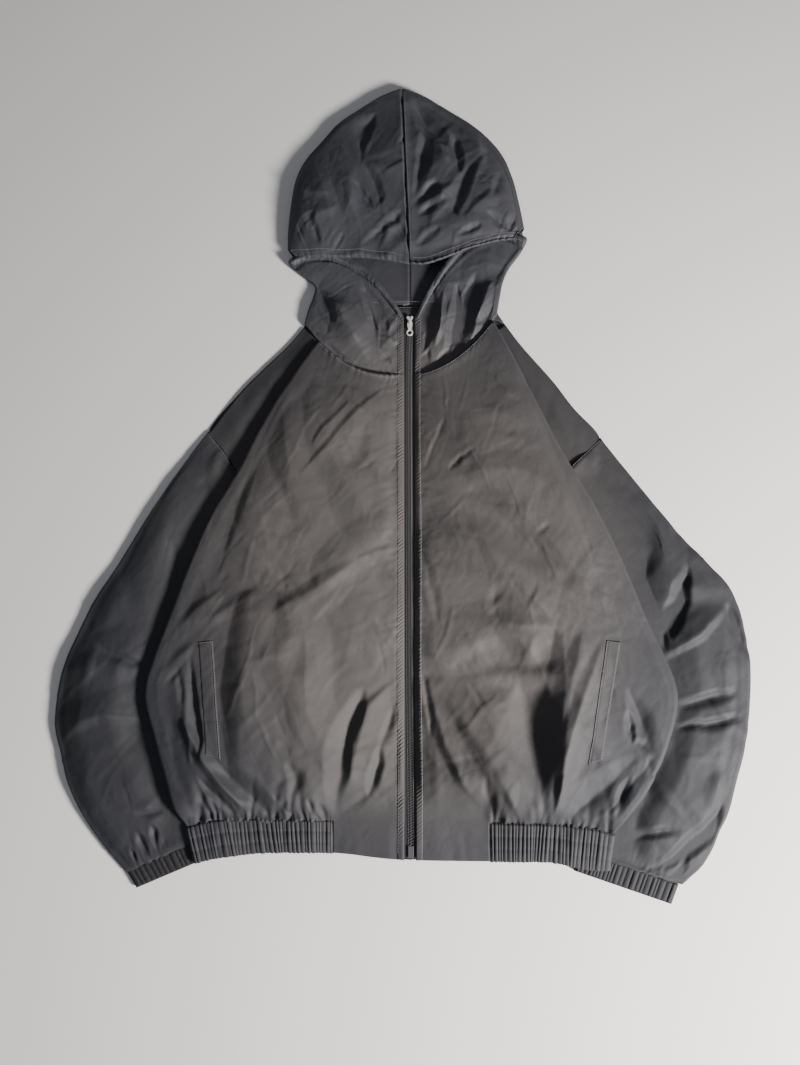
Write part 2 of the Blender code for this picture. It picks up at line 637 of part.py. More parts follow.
def body_path(right, left, bow, lift):
    """A section right across the body's underside, from the wearer's right to left."""
    path = []
    chord = left - right
    for side, end in ((-1, right), (1, left)):
        half = []
        for share, z in half_columns(side, abs(end.x), end.y, lift):
            x = end.x * share
            s = (x - right.x) / chord.x
            y = right.y + chord.y * s + bow * 4 * s * (1 - s)
            half.append(Vector((x, y, z)))
        path += half[::-1] if side < 0 else half[1:]
    return path


def back_path(row):
    """One section of the back."""
    right = Vector((row.x_right, row.y_right))
    left = Vector((row.x_left, row.y_left))
    return body_path(right, left, row.bow, row.lift * BODY_LIFT)


def build_back():
    """The back: flat on the floor, and lifted at its sides where it lies on the sleeves."""
    paths = [back_path(row) for row in sections(BACK, BACK_BELOW_ARMS)]
    for point in paths[0]:
        point.y = hem_y(-1 if point.x < 0 else 1, point.x, 1) + SEAM
    for right, left in zip(RIGHT_ARMHOLE, LEFT_ARMHOLE):
        paths.append(body_path(Vector(right), Vector(left), 0, 0))
    paths += [back_path(row) for row in sections(BACK, BACK_SHOULDERS)]
    # The underside is the outer face, so it is turned to look down
    sheet("back", paths, finish("back", CHARCOAL, 0.55), turned=True)


def build_hem_back():
    """The back's hem, turned up over its elastic."""
    paths = []
    for share in (0, 0.5, 1):
        ends = []
        for side in (-1, 1):
            x_top, x_foot = HEM_BACK_CORNERS[side]
            x = side * (x_foot + (x_top - x_foot) * share)
            ends.append(Vector((x, hem_y(side, x, share))))
        path = body_path(ends[0], ends[1], 0, BODY_LIFT)
        for point in path:
            side = -1 if point.x < 0 else 1
            point.y = hem_y(side, point.x, share) - SEAM * share
        paths.append(path)
    name = "hem_back"
    sheet(name, paths, finish(name, SLATE, 0.6), HEM_CLOTH, turned=True)


def build_hem_front(word, side, ribs):
    """A front's hem: flat beside the zip, and ribbed where the elastic gathers it."""
    x_top, x_foot = HEM_CORNERS[side]
    stations = [(0.0, 0.0, 0.0), (0.0, 0.5, 0.0), (0.0, 1.0, 0.0)]
    for index in range(1, 2 * ribs + 1):
        stations.append((index / (2 * ribs), 1.0, HEM_RIB_HEIGHT * (index % 2)))
    outer = []
    inner = []
    for share in (0, 0.5, 1):
        outer_path = []
        inner_path = []
        edge = x_foot + (x_top - x_foot) * share
        for across, tab, rib in stations:
            tab_x = ZIP_EDGE + (TAB_WIDTH - ZIP_EDGE) * tab
            x = side * (tab_x + (edge - TAB_WIDTH) * across)
            y = hem_y(side, x, share)
            over = sleeve_edge(side, y) - LIFT_CLEAR
            lift = smooth((abs(x) - over + LIFT_RUN) / LIFT_RUN)
            z = HEM_REST + HEM_PUFF * smooth((abs(x) - TAB_WIDTH) / 0.03)
            z += (BODY_LIFT + HEM_CLOTH + 2 * GAP - z) * lift
            inner_path.append(Vector((x, y, z)))
            outer_path.append(Vector((x, y, z + HEM_CLOTH + rib)))
        outer.append(outer_path)
        inner.append(inner_path)
    name = f"hem_front_{word}"
    closed_wall(name, outer, inner, finish(name, SLATE, 0.6), turned=side < 0)


# ---- Sleeves ----


def armhole_point(armhole, s):
    """A point of the armhole seam, s from the underarm to the shoulder's tip."""
    points = [Vector(point) for point in armhole]
    lengths = [0.0]
    for start, end in zip(points, points[1:]):
        lengths.append(lengths[-1] + (end - start).length)
    x = float(np.interp(s * lengths[-1], lengths, [point.x for point in points]))
    y = float(np.interp(s * lengths[-1], lengths, [point.y for point in points]))
    return Vector((x, y))


def bulge(armhole, s):
    """How far the armhole is from a straight line between its ends."""
    ends = armhole_point(armhole, 0), armhole_point(armhole, 1)
    return armhole_point(armhole, s) - ends[0].lerp(ends[1], s)


def sleeve_plan(row, armhole, s):
    """A section's point on plan. Below the armhole the sections curve the other way, so
    that they fan out from the underarm."""
    start = Vector((row.x_in, row.y_in))
    end = Vector((row.x_out, row.y_out))
    return start.lerp(end, s) + bulge(armhole, s) * row.arch


def build_sleeve(word, side, table, armhole, folds):
    """A sleeve's upper side, its edges rolled to the floor, and its under side between them."""
    upper = []
    under = []
    rows = sections(SLEEVE, table)
    fold = [sleeve_plan(row, armhole, 0) for row in rows]
    for index, row in enumerate(rows):
        inner = fold[index]
        outer = sleeve_plan(row, armhole, 1)
        along = fold[max(0, index - 1)] - fold[min(len(fold) - 1, index + 1)]
        inwards = Vector((along.y, -along.x)).normalized() * side
        if index == len(rows) - 1:
            inwards = (outer - inner).normalized()
        ahead = (outer - sleeve_plan(row, armhole, 0.95)).normalized()
        length = (outer - inner).length
        path = rolled_edge(inner, -inwards, row.z_low, 0, SLEEVE_LIP)[::-1]
        path.append(Vector((*(inner + inwards * row.z_low / 2), row.z_low)))
        last = 1 - row.z_out / 2 / length
        for share in even(SLEEVE_CELLS)[1:]:
            s = last * share
            flat = sleeve_plan(row, armhole, s)
            swell = smooth((share - row.s_low) / 0.22)
            z = row.z_low + (row.z_high - row.z_low) * swell
            z += (row.z_out - row.z_high) * smooth((share - 0.82) / 0.18) * swell
            fade = swell * min(1.0, (1 - share) / 0.12)
            z += fade * fold_rise(flat.x, flat.y, folds)
            path.append(Vector((*flat, max(z, row.z_low if share < 1 else row.z_out))))
        path += rolled_edge(outer, ahead, row.z_out, 0, SLEEVE_LIP)
        upper.append(path)
        split = SLEEVE_LIP + GAP
        start = inner + inwards * (row.z_low / 2 + split)
        end = outer - ahead * (row.z_out / 2 + split)
        flats = [start.lerp(end, s) + bulge(armhole, s) * row.arch**3 for s in even(5)]
        under.append([Vector((*flat, 0)) for flat in flats])
    name = f"sleeve_{word}"
    sheet(name, upper, finish(name, SLATE, 0.55), turned=side > 0)
    name = f"sleeve_{word}_under"
    sheet(name, under, finish(name, SLATE, 0.55), turned=side < 0)


def build_cuff(word, side, table, ribs):
    """A cuff: a flattened ring, ribbed above and plain where it lies on the floor."""
    outer = []
    inner = []
    for share in even(CUFF_ROWS - 1):
        seam, hand = sections(CUFF, table)
        start = Vector((seam.x_in, seam.y_in)).lerp(Vector((hand.x_in, hand.y_in)), share)
        end = Vector((seam.x_out, seam.y_out)).lerp(Vector((hand.x_out, hand.y_out)), share)
        out = (end - start).normalized()
        radius = CUFF_HEIGHT / 2
        outer_path = []
        inner_path = []
        count = 2 * ribs
        for index in range(count + 1):
            s = index / count
            flat = (start + out * radius).lerp(end - out * radius, s)
            rib = CUFF_RIB_HEIGHT * (index % 2)
            outer_path.append(Vector((*flat, CUFF_HEIGHT + rib)))
            inner_path.append(Vector((*flat, CUFF_HEIGHT - CUFF_CLOTH)))
        for degrees in (30, -30):
            angle = math.radians(degrees)
            for path, reach in ((outer_path, radius), (inner_path, radius - CUFF_CLOTH)):
                flat = end - out * radius + out * (reach * math.cos(angle))
                path.append(Vector((*flat, radius + reach * math.sin(angle))))
        for s in even(6)[::-1]:
            flat = (start + out * radius).lerp(end - out * radius, s)
            outer_path.append(Vector((*flat, 0)))
            inner_path.append(Vector((*flat, CUFF_CLOTH)))
        for degrees in (-30, 30):
            angle = math.radians(degrees)
            for path, reach in ((outer_path, radius), (inner_path, radius - CUFF_CLOTH)):
                flat = start + out * radius - out * (reach * math.cos(angle))
                path.append(Vector((*flat, radius + reach * math.sin(angle))))
        outer.append(outer_path)
        inner.append(inner_path)
    name = f"cuff_{word}"
    closed_wall(name, outer, inner, finish(name, SLATE, 0.6), wrap=True, turned=side > 0)


# ---- Hood ----


def seam_x(y):
    """The hood's centre seam leans a little towards the wearer's right."""
    return SEAM_LEAN * min(1.0, max(0.0, (y - SEAM_FOOT) / SEAM_LENGTH))


def build_crown(word, side, table, folds):
    """The hood's upper layer: from the crown's edge to the outline, rolled under."""
    paths = []
    for row in sections(CROWN, table):
        start = Vector((row.x_in, row.y_in))
        edge = Vector((row.x_out, row.y_out))
        out = (edge - start).normalized()
        radius = (row.z_out - LAYER) / 2
        end = edge - out * radius
        shares = even(CROWN_CELLS)
        path = []
        for s, flat in zip(shares, flat_columns(start, end, shares, 0)):
            z = row.z_in + (row.z_out - row.z_in) * s + row.rise * math.sin(math.pi * s)
            fade = min(1.0, s / 0.15, (1 - s) / 0.15, row.rise / 0.008)
            path.append(Vector((*flat, z + fade * fold_rise(flat.x, flat.y, folds))))
        lip = min(EDGE_LIP, 0.35 * (end - start).length)
        path += rolled_edge(edge, out, row.z_out, LAYER, lip)
        paths.append(path)
    name = f"hood_{word}"
    sheet(name, paths, finish(name, CHARCOAL, 0.5), turned=side > 0)


def build_hood_front(word, side, table, folds):
    """The hood's front: from its face edge to the neck seam, beside the zip."""
    paths = []
    for row in sections(NECK, table, NECK_STEPS):
        start = Vector((side * ZIP_EDGE, row.y_in))
        edge = Vector((row.x_out, row.y_out))
        out = (edge - start).normalized()
        end = edge - out * (row.z_out - HOOD_LIP_REST) / 2
        shares = even(NECK_CELLS)
        path = []
        for s, flat in zip(shares, flat_columns(start, end, shares, row.bow)):
            z = FRONT_REST + (row.z_out - FRONT_REST) * s + row.rise * math.sin(math.pi * s)
            fade = min(1.0, s / 0.15, (1 - s) / 0.15, max(0.0, row.rise - 0.001) / 0.003)
            z += fade * fold_rise(flat.x, flat.y, folds)
            path.append(Vector((*flat, max(z, FRONT_REST))))
        path += rolled_edge(edge, out, row.z_out, HOOD_LIP_REST, NECK_LIP)
        paths.append(path)
    name = f"hood_front_{word}"
    sheet(name, paths, finish(name, CHARCOAL, 0.5), turned=side > 0)


def build_hood_back(word, side, table):
    """The hood's lower layer, flat on the floor from the back neck seam to the top."""
    neck = back_path(sections(BACK, BACK_SHOULDERS)[-1])
    middle = len(neck) // 2
    half = neck[middle:] if side > 0 else neck[middle::-1]
    paths = [[point + Vector((0, SEAM, 0)) for point in half]]
    paths[0][0].x += side * GAP / 2
    shares = [share for share, _ in half_columns(side, 1, 0, 0)]
    for row in sections(HOOD_BACK, table):
        start = Vector((seam_x(row.y_in) + side * GAP / 2, row.y_in))
        end = Vector((row.x_out, row.y_out))
        flats = flat_columns(start, end, shares, row.bow)
        paths.append([Vector((*flat, 0)) for flat in flats])
    name = f"hood_back_{word}"
    sheet(name, paths, finish(name, CHARCOAL, 0.5), turned=side > 0)


# ---- Zip ----


def block(name, low, high, material, bevel=0.0003):
    """A box between two corners, with eased edges."""
    bpy.ops.mesh.primitive_cube_add(size=1)
    shape = bpy.context.object
    shape.name = name
    shape.data.name = name
    low = Vector(low)
    high = Vector(high)
    for vertex in shape.data.vertices:
        share = vertex.co + Vector((0.5, 0.5, 0.5))
        vertex.co = [a + (b - a) * t for a, b, t in zip(low, high, share)]
    shape.data.materials.append(material)
    for collection in list(shape.users_collection):
        collection.objects.unlink(shape)
    parts.objects.link(shape)
    if bevel:
        edges = shape.modifiers.new("Edges", "BEVEL")
        edges.width = bevel
        edges.segments = 1
    return shape


def join(shape, others):
    """Booleans that make one body of several, whose own objects then go."""
    for other in others:
        union = shape.modifiers.new("Join", "BOOLEAN")
        union.operation = "UNION"
        union.object = other
    bpy.context.view_layer.update()
    graph = bpy.context.evaluated_depsgraph_get()
    mesh = bpy.data.meshes.new_from_object(shape.evaluated_get(graph))
    shape.modifiers.clear()
    shape.data = mesh
    for other in others:
        bpy.data.objects.remove(other, do_unlink=True)


def build_zip():
    """Tapes, and the chain of teeth with the box at its foot."""
    black = finish("zip_chain", BLACK, 0.4)
    for word, side in (("right", -1), ("left", 1)):
        inner = side * (CHAIN_WIDTH / 2 + GAP)
        outer = inner + side * TAPE_WIDTH
        low = (min(inner, outer), ZIP_FOOT + 0.001, TAPE_REST)
        high = (max(inner, outer), CHAIN_TOP, TAPE_REST + TAPE_HEIGHT)
        name = f"zip_tape_{word}"
        block(name, low, high, finish(name, BLACK, 0.8), 0)
    box_top = ZIP_FOOT + 0.013
    low = (-CHAIN_WIDTH / 2, box_top + GAP, CHAIN_LOW)
    high = (CHAIN_WIDTH / 2, CHAIN_TOP, CHAIN_LOW + CHAIN_HEIGHT)
    block("zip_chain", low, high, black)
    low = (-CHAIN_WIDTH / 2, ZIP_FOOT, CHAIN_LOW)
    high = (CHAIN_WIDTH / 2, box_top, CHAIN_LOW + CHAIN_HEIGHT + 0.0006)
    block("zip_box", low, high, finish("zip_box", BLACK, 0.4))


def build_slider():
    """The slider: two plates joined by a post past the chain's end, and a bridge on top."""
    steel = finish("zip_slider", SILVER, 0.25, 1.0)
    top = SLIDER_REST + SLIDER_PLATE
    under = CHAIN_LOW - GAP
    bridge = top + 0.0024
    # Half width, then from and to along the zip, then from and to in height
    blocks = (
        (0.0054, SLIDER_FOOT + 0.0060, ZIP_TOP - 0.0004, SLIDER_REST - 0.0001, top + 0.0002),
        (0.0012, CHAIN_TOP + 0.0006, ZIP_TOP - 0.0007, under - 0.0008, SLIDER_REST + 0.0006),
        (0.0034, SLIDER_FOOT + 0.0011, ZIP_TOP - 0.0005, under - 0.0010, under),
        (0.0009, HINGE_Y - 0.0026, HINGE_Y - 0.0015, top - 0.0005, bridge),
        (0.0009, HINGE_Y + 0.0013, HINGE_Y + 0.0023, top - 0.0005, bridge),
        (0.0008, HINGE_Y - 0.0025, HINGE_Y + 0.0022, bridge - 0.0009, bridge + 0.0002),
    )
    low = (-0.0031, SLIDER_FOOT, SLIDER_REST)
    high = (0.0031, ZIP_TOP, top)
    slider = block("zip_slider", low, high, steel)
    others = []
    for half, y_low, y_high, z_low, z_high in blocks:
        low = (-half, y_low, z_low)
        others.append(block("slider_block", low, (half, y_high, z_high), steel))
    join(slider, others)


def ring_of(curve, points):
    """A closed outline in the flat curve."""
    outline = curve.splines.new("POLY")
    outline.points.add(len(points) - 1)
    for point, (x, y) in zip(outline.points, points):
        point.co = (x, y, 0, 1)
    outline.use_cyclic_u = True


def build_pull():
    """The pull: an eye round the slider's bridge, a neck, and a ring at its end."""
    curve = bpy.data.curves.new("zip_pull", "CURVE")
    curve.dimensions = "2D"
    curve.fill_mode = "BOTH"
    curve.extrude = PULL_THICKNESS / 2
    ring_y = RING_RADIUS - PULL_LENGTH
    half = [(0.0028, 0.0006), (0.0030, 0.0002), (0.0030, -0.0036), (0.0024, -0.0070)]
    for degrees in range(50, -91, -20):
        angle = math.radians(degrees)
        half.append((RING_RADIUS * math.cos(angle), ring_y + RING_RADIUS * math.sin(angle)))
    ring_of(curve, half + [(-x, y) for x, y in reversed(half[:-1])])
    hole = []
    for index in range(12):
        angle = math.tau * index / 12
        hole.append((RING_HOLE * math.cos(angle), ring_y + RING_HOLE * math.sin(angle)))
    ring_of(curve, hole)
    ring_of(curve, ((0.0013, -0.0005), (-0.0013, -0.0005), (-0.0013, -0.0033), (0.0013, -0.0033)))
    shape = bpy.data.objects.new("zip_pull", curve)
    parts.objects.link(shape)
    height = SLIDER_REST + SLIDER_PLATE + GAP + PULL_THICKNESS / 2
    shape.location = (0, HINGE_Y, height)
    curve.materials.append(finish("zip_pull", SILVER, 0.25, 1.0))


def build_jacket():
    build_back()
    build_hem_back()
    build_sleeve("right", -1, RIGHT_SLEEVE, RIGHT_ARMHOLE, RIGHT_SLEEVE_FOLDS)
    build_sleeve("left", 1, LEFT_SLEEVE, LEFT_ARMHOLE, LEFT_SLEEVE_FOLDS)
    build_cuff("right", -1, RIGHT_CUFF, CUFF_RIBS_RIGHT)
    build_cuff("left", 1, LEFT_CUFF, CUFF_RIBS_LEFT)
    build_shoulder("right", -1, RIGHT_SHOULDER)
    build_shoulder("left", 1, LEFT_SHOULDER)
    build_front("right", -1, RIGHT_FRONT, RIGHT_FRONT_FOLDS)
    build_front("left", 1, LEFT_FRONT, LEFT_FRONT_FOLDS)
    build_hem_front("right", -1, HEM_RIBS_RIGHT)
    build_hem_front("left", 1, HEM_RIBS_LEFT)
    build_hood_back("right", -1, RIGHT_HOOD_BACK)
    build_hood_back("left", 1, LEFT_HOOD_BACK)
    build_crown("right", -1, RIGHT_CROWN, RIGHT_HOOD_FOLDS)
    build_crown("left", 1, LEFT_CROWN, LEFT_HOOD_FOLDS)
    build_hood_front("right", -1, RIGHT_NECK, RIGHT_NECK_FOLDS)
    build_hood_front("left", 1, LEFT_NECK, LEFT_NECK_FOLDS)
    build_zip()
    build_slider()
    build_pull()


clear_scene()
build_jacket()
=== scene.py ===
# %% [markdown]
# # A hooded windbreaker, laid flat
# The jacket lies on its back with the zip closed: sleeves and hood at the bottom of the pile,
# the back over them, the fronts on top. It is sewn from thin, plain-woven nylon, so its look
# comes from three things: the way the cloth swells and creases, the elastic that gathers the
# hem and cuffs, and a dull, slightly silky finish.
#
# The solids of the frame already have the right outline and layers. Each one is replaced here
# by a much thinner shell on the same form, with creases, ribs and stitches of its own.

# %% Frame
import json
import math
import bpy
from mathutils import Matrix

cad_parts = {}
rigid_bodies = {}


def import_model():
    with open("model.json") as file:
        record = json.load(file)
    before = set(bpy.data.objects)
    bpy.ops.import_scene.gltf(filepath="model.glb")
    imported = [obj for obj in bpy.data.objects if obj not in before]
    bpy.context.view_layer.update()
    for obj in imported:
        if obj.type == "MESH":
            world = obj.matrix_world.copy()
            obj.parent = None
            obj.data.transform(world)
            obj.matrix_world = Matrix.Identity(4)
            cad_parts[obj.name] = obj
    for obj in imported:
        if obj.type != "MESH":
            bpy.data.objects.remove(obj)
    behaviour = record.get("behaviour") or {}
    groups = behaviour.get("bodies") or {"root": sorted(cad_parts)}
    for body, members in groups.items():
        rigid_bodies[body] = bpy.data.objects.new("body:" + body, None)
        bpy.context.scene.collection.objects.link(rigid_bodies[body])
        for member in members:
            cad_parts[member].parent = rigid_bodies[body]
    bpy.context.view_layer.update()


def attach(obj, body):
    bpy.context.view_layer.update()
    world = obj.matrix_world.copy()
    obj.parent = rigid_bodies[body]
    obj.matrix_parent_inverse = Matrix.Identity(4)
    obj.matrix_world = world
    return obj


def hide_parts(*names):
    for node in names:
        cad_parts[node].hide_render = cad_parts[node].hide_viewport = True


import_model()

from types import SimpleNamespace

import bpy
import bmesh
import numpy as np
from mathutils import Matrix, Vector

MM = 0.001
SIDES = {"right": -1, "left": 1}

# %% [markdown]
# ## Camera, floor and light
# The camera looks almost straight down from about a metre, which is how a garment on the
# floor is usually shown. A wide lens from there makes the hem a little larger than the hood.
# The view's axes are written as a matrix, since a lens that looks down has no clear "up".
#
# One soft lamp low on the wearer's left rakes across the cloth, so each crease has a light
# side and a dark side. A pale world fills the shadows. A lamp straight above would be simpler,
# but it flattens thin cloth.

# %% Camera
FRAME_SIZE = (800, 1065)
FOCAL_PIXELS = 800
SENSOR = 36.0
EYE = Vector((0.02866, -0.08220, 0.961))
VIEW_AXES = Matrix((
    (0.99907843, 0.00723927, 0.04230701),
    (0.0, 0.98567405, -0.16866141),
    (-0.04292191, 0.16850598, 0.98476568),
))


def add_object(name, data):
    """An object that shows the data, linked into the scene."""
    made = bpy.data.objects.new(name, data)
    bpy.context.collection.objects.link(made)
    return made


lens = bpy.data.cameras.new("Camera")
lens.sensor_width = SENSOR
lens.lens = SENSOR * FOCAL_PIXELS / max(FRAME_SIZE)
camera = add_object("Camera", lens)
camera.matrix_world = Matrix.Translation(EYE) @ VIEW_AXES.to_4x4()
bpy.context.scene.camera = camera
print("lens: %.1f mm at %.2f m" % (lens.lens, EYE.z))

# %% Floor and light
FLOOR_HALF = 3.0
FLOOR_COLOUR = (0.72, 0.71, 0.70)
FLOOR_DROP = 0.0004
KEY_PLACE = Vector((1.27, -0.82, 0.84))
KEY_SIZE = 0.40
KEY_POWER = 105
KEY_COLOUR = (1.0, 0.97, 0.93)
FILL_PLACE = Vector((-0.4, -0.6, 2.2))
FILL_SIZE = 2.4
FILL_POWER = 5
FILL_COLOUR = (0.93, 0.96, 1.0)
SKY = (0.86, 0.90, 1.0)
SKY_STRENGTH = 0.175


def new_material(name):
    """A material with its shader node."""
    material = bpy.data.materials.new(name)
    material.use_nodes = True
    return material, material.node_tree.nodes["Principled BSDF"]


def mesh_object(name, points, faces, material=None):
    """An object from lists of points and faces."""
    mesh = bpy.data.meshes.new(name)
    mesh.from_pydata(points, [], faces)
    if material:
        mesh.materials.append(material)
    return add_object(name, mesh)


def lamp(name, place, size, power, colour):
    light = bpy.data.lights.new(name, "AREA")
    light.shape = "DISK"
    light.size = size
    light.energy = power
    light.color = colour
    stand = add_object(name, light)
    stand.location = place
    stand.rotation_euler = (-place).to_track_quat("-Z", "Y").to_euler()


floor_material, floor_shader = new_material("floor")
floor_shader.inputs["Base Color"].default_value = (*FLOOR_COLOUR, 1)
floor_shader.inputs["Roughness"].default_value = 0.9
corners = [(x * FLOOR_HALF, y * FLOOR_HALF, 0) for x, y in ((-1, -1), (1, -1), (1, 1), (-1, 1))]
floor = mesh_object("floor", corners, [(0, 1, 2, 3)], floor_material)
floor.location.z = -FLOOR_DROP

lamp("key", KEY_PLACE, KEY_SIZE, KEY_POWER, KEY_COLOUR)
lamp("fill", FILL_PLACE, FILL_SIZE, FILL_POWER, FILL_COLOUR)
world = bpy.data.worlds.new("world")
world.use_nodes = True
sky = world.node_tree.nodes["Background"]
sky.inputs["Color"].default_value = (*SKY, 1)
sky.inputs["Strength"].default_value = SKY_STRENGTH
bpy.context.scene.world = world
key_slope = math.atan2(KEY_PLACE.z, math.hypot(KEY_PLACE.x, KEY_PLACE.y))
print("key lamp %.0f degrees above the floor" % math.degrees(key_slope))

# %% [markdown]
# ## The cloth's finish
# The nylon is a plain weave of dull filament yarn, dyed charcoal. Three effects make it up, and
# several materials share them, so each is a shader node group that is built once:
#
# - **Plain weave**: fine yarns that cross, as a height for a bump. A picture of cloth would
#   do this too, but two crossed wave patterns need no file and have no seams.
# - **Fine crumple**: shallow facets a few millimetres wide that thin, stiff cloth keeps after
#   it was folded. They are too small for the mesh.
# - **Dye drift**: slow changes of tone over the piece.
#
# The groups put out only heights and values. The shader itself stays in each material.

# %% Shader groups


class Graph:
    """Adds nodes to a tree from left to right and joins them by their sockets' names."""

    def __init__(self, tree):
        self.tree = tree
        self.count = 0

    def fill(self, node, **sockets):
        """Gives sockets values or links. Spaces in names are written _, and i2 is socket 2."""
        for name, value in sockets.items():
            numbered = name[0] == "i" and name[1:].isdigit()
            socket = node.inputs[int(name[1:]) if numbered else name.replace("_", " ")]
            if isinstance(value, bpy.types.NodeSocket):
                self.tree.links.new(value, socket)
            else:
                socket.default_value = value

    def add(self, kind, settings=None, **sockets):
        node = self.tree.nodes.new(kind)
        node.location = (self.count * 190, 0)
        self.count += 1
        for name, value in (settings or {}).items():
            setattr(node, name, value)
        self.fill(node, **sockets)
        return node

    def math(self, operation, one, other):
        """A number made from two others."""
        node = self.add("ShaderNodeMath", {"operation": operation}, i0=one, i1=other)
        return node.outputs[0]


def new_group(name, inputs, outputs):
    """An empty shader group with float sockets, and the nodes that stand for its two ends."""
    group = bpy.data.node_groups.new(name, "ShaderNodeTree")
    for label, value in inputs.items():
        socket = group.interface.new_socket(label, in_out="INPUT", socket_type="NodeSocketFloat")
        socket.default_value = value
    for label in outputs:
        group.interface.new_socket(label, in_out="OUTPUT", socket_type="NodeSocketFloat")
    graph = Graph(group)
    return group, graph, graph.add("NodeGroupInput"), graph.add("NodeGroupOutput")


def plain_weave_group():
    """Two sets of yarns that cross. Yarns is how many there are in a metre."""
    group, graph, start, end = new_group("Plain weave", {"Yarns": 1500.0}, ["Height"])
    place = graph.add("ShaderNodeTexCoord").outputs["Object"]
    across, along = (
        graph.add("ShaderNodeTexWave", {"bands_direction": direction, "wave_profile": "SIN"},
                  Vector=place, Scale=start.outputs["Yarns"], Distortion=1.5, Detail=1.0)
        for direction in ("X", "Y"))
    graph.fill(end, Height=graph.math("MAXIMUM", across.outputs["Fac"], along.outputs["Fac"]))
    return group


def fine_crumple_group():
    """Shallow facets at two sizes. Facets is how many there are in a metre."""
    group, graph, start, end = new_group("Fine crumple", {"Facets": 60.0}, ["Height"])
    place = graph.add("ShaderNodeTexCoord").outputs["Object"]
    bent = graph.add("ShaderNodeTexNoise", Vector=place, Scale=35.0, Detail=2.0)
    pulled = graph.add("ShaderNodeMix", {"data_type": "VECTOR"}, Factor=0.012,
                       i4=place, i5=bent.outputs["Color"]).outputs[1]
    facets = start.outputs["Facets"]
    large, small = (
        graph.add("ShaderNodeTexVoronoi", {"feature": "DISTANCE_TO_EDGE"},
                  Vector=pulled, Scale=scale).outputs["Distance"]
        for scale in (facets, graph.math("MULTIPLY", facets, 2.3)))
    both = graph.math("ADD", large, graph.math("MULTIPLY", small, 0.35))
    patches = graph.add("ShaderNodeTexNoise", Vector=place, Scale=14.0, Detail=2.0)
    strength = graph.add("ShaderNodeMapRange", Value=patches.outputs["Fac"],
                         From_Min=0.36, From_Max=0.62, To_Min=0.15)
    graph.fill(end, Height=graph.math("MULTIPLY", both, strength.outputs["Result"]))
    return group


def dye_drift_group():
    """Tone between 0 and 1 that drifts slowly, with a little grain of single yarns in it."""
    group, graph, start, end = new_group("Dye drift", {"Patches": 7.0}, ["Tone"])
    place = graph.add("ShaderNodeTexCoord").outputs["Object"]
    slow = graph.add("ShaderNodeTexNoise", Vector=place, Scale=start.outputs["Patches"], Detail=3.0)
    grain = graph.add("ShaderNodeTexNoise", Vector=place, Scale=900.0, Detail=1.0)
    mixed = graph.add("ShaderNodeMix", {"data_type": "FLOAT"}, Factor=0.35,
                      i2=slow.outputs["Fac"], i3=grain.outputs["Fac"])
    graph.fill(end, Tone=mixed.outputs[0])
    return group


def painted_light_group():
    """Painted light and shade: 1 over the chest and belly, painted lit and warm, falling to 0 far
    from them, painted shaded and cool.
    """
    group, graph, start, end = new_group("Painted light and shade", {"Reach": 1.0}, ["Fade"])
    far = graph.add("ShaderNodeTexCoord").outputs["Object"]
    for operation, amount in (("SUBTRACT", (0.0, 0.04, 0.0)), ("MULTIPLY", (3.7, 3.2, 0.0))):
        far = graph.add("ShaderNodeVectorMath", {"operation": operation}, i0=far, i1=amount)
        far = far.outputs[0]
    far = graph.add("ShaderNodeVectorMath", {"operation": "LENGTH"}, i0=far).outputs["Value"]
    fade = graph.add("ShaderNodeMapRange", {"interpolation_type": "SMOOTHSTEP"},
                     Value=graph.math("DIVIDE", far, start.outputs["Reach"]),
                     From_Min=1.25, From_Max=0.55)
    graph.fill(end, Fade=fade.outputs["Result"])
    return group


WEAVE = plain_weave_group()
CRUMPLE = fine_crumple_group()
DRIFT = dye_drift_group()
PAINTED_LIGHT = painted_light_group()
print("shader groups:", [group.name for group in (WEAVE, CRUMPLE, DRIFT, PAINTED_LIGHT)])

# %% [markdown]
# Each cloth material places the groups with its own values. The body is a warm charcoal, with
# painted light that makes it lighter and warmer over the chest and belly. The hood and sleeves,
# which turn away from the lamp, get painted shade that makes them cooler and darker, and so do
# the gathered casings, whose doubled cloth is also duller and whose ribs get more painted shade.

# %% Cloth materials
# The charcoal cloth painted in shade, for far from the chest, and painted in light, for over the
# chest and belly.
SHADED_DYE = (0.0278, 0.0284, 0.0334)
LIT_DYE = (0.0660, 0.0605, 0.0595)


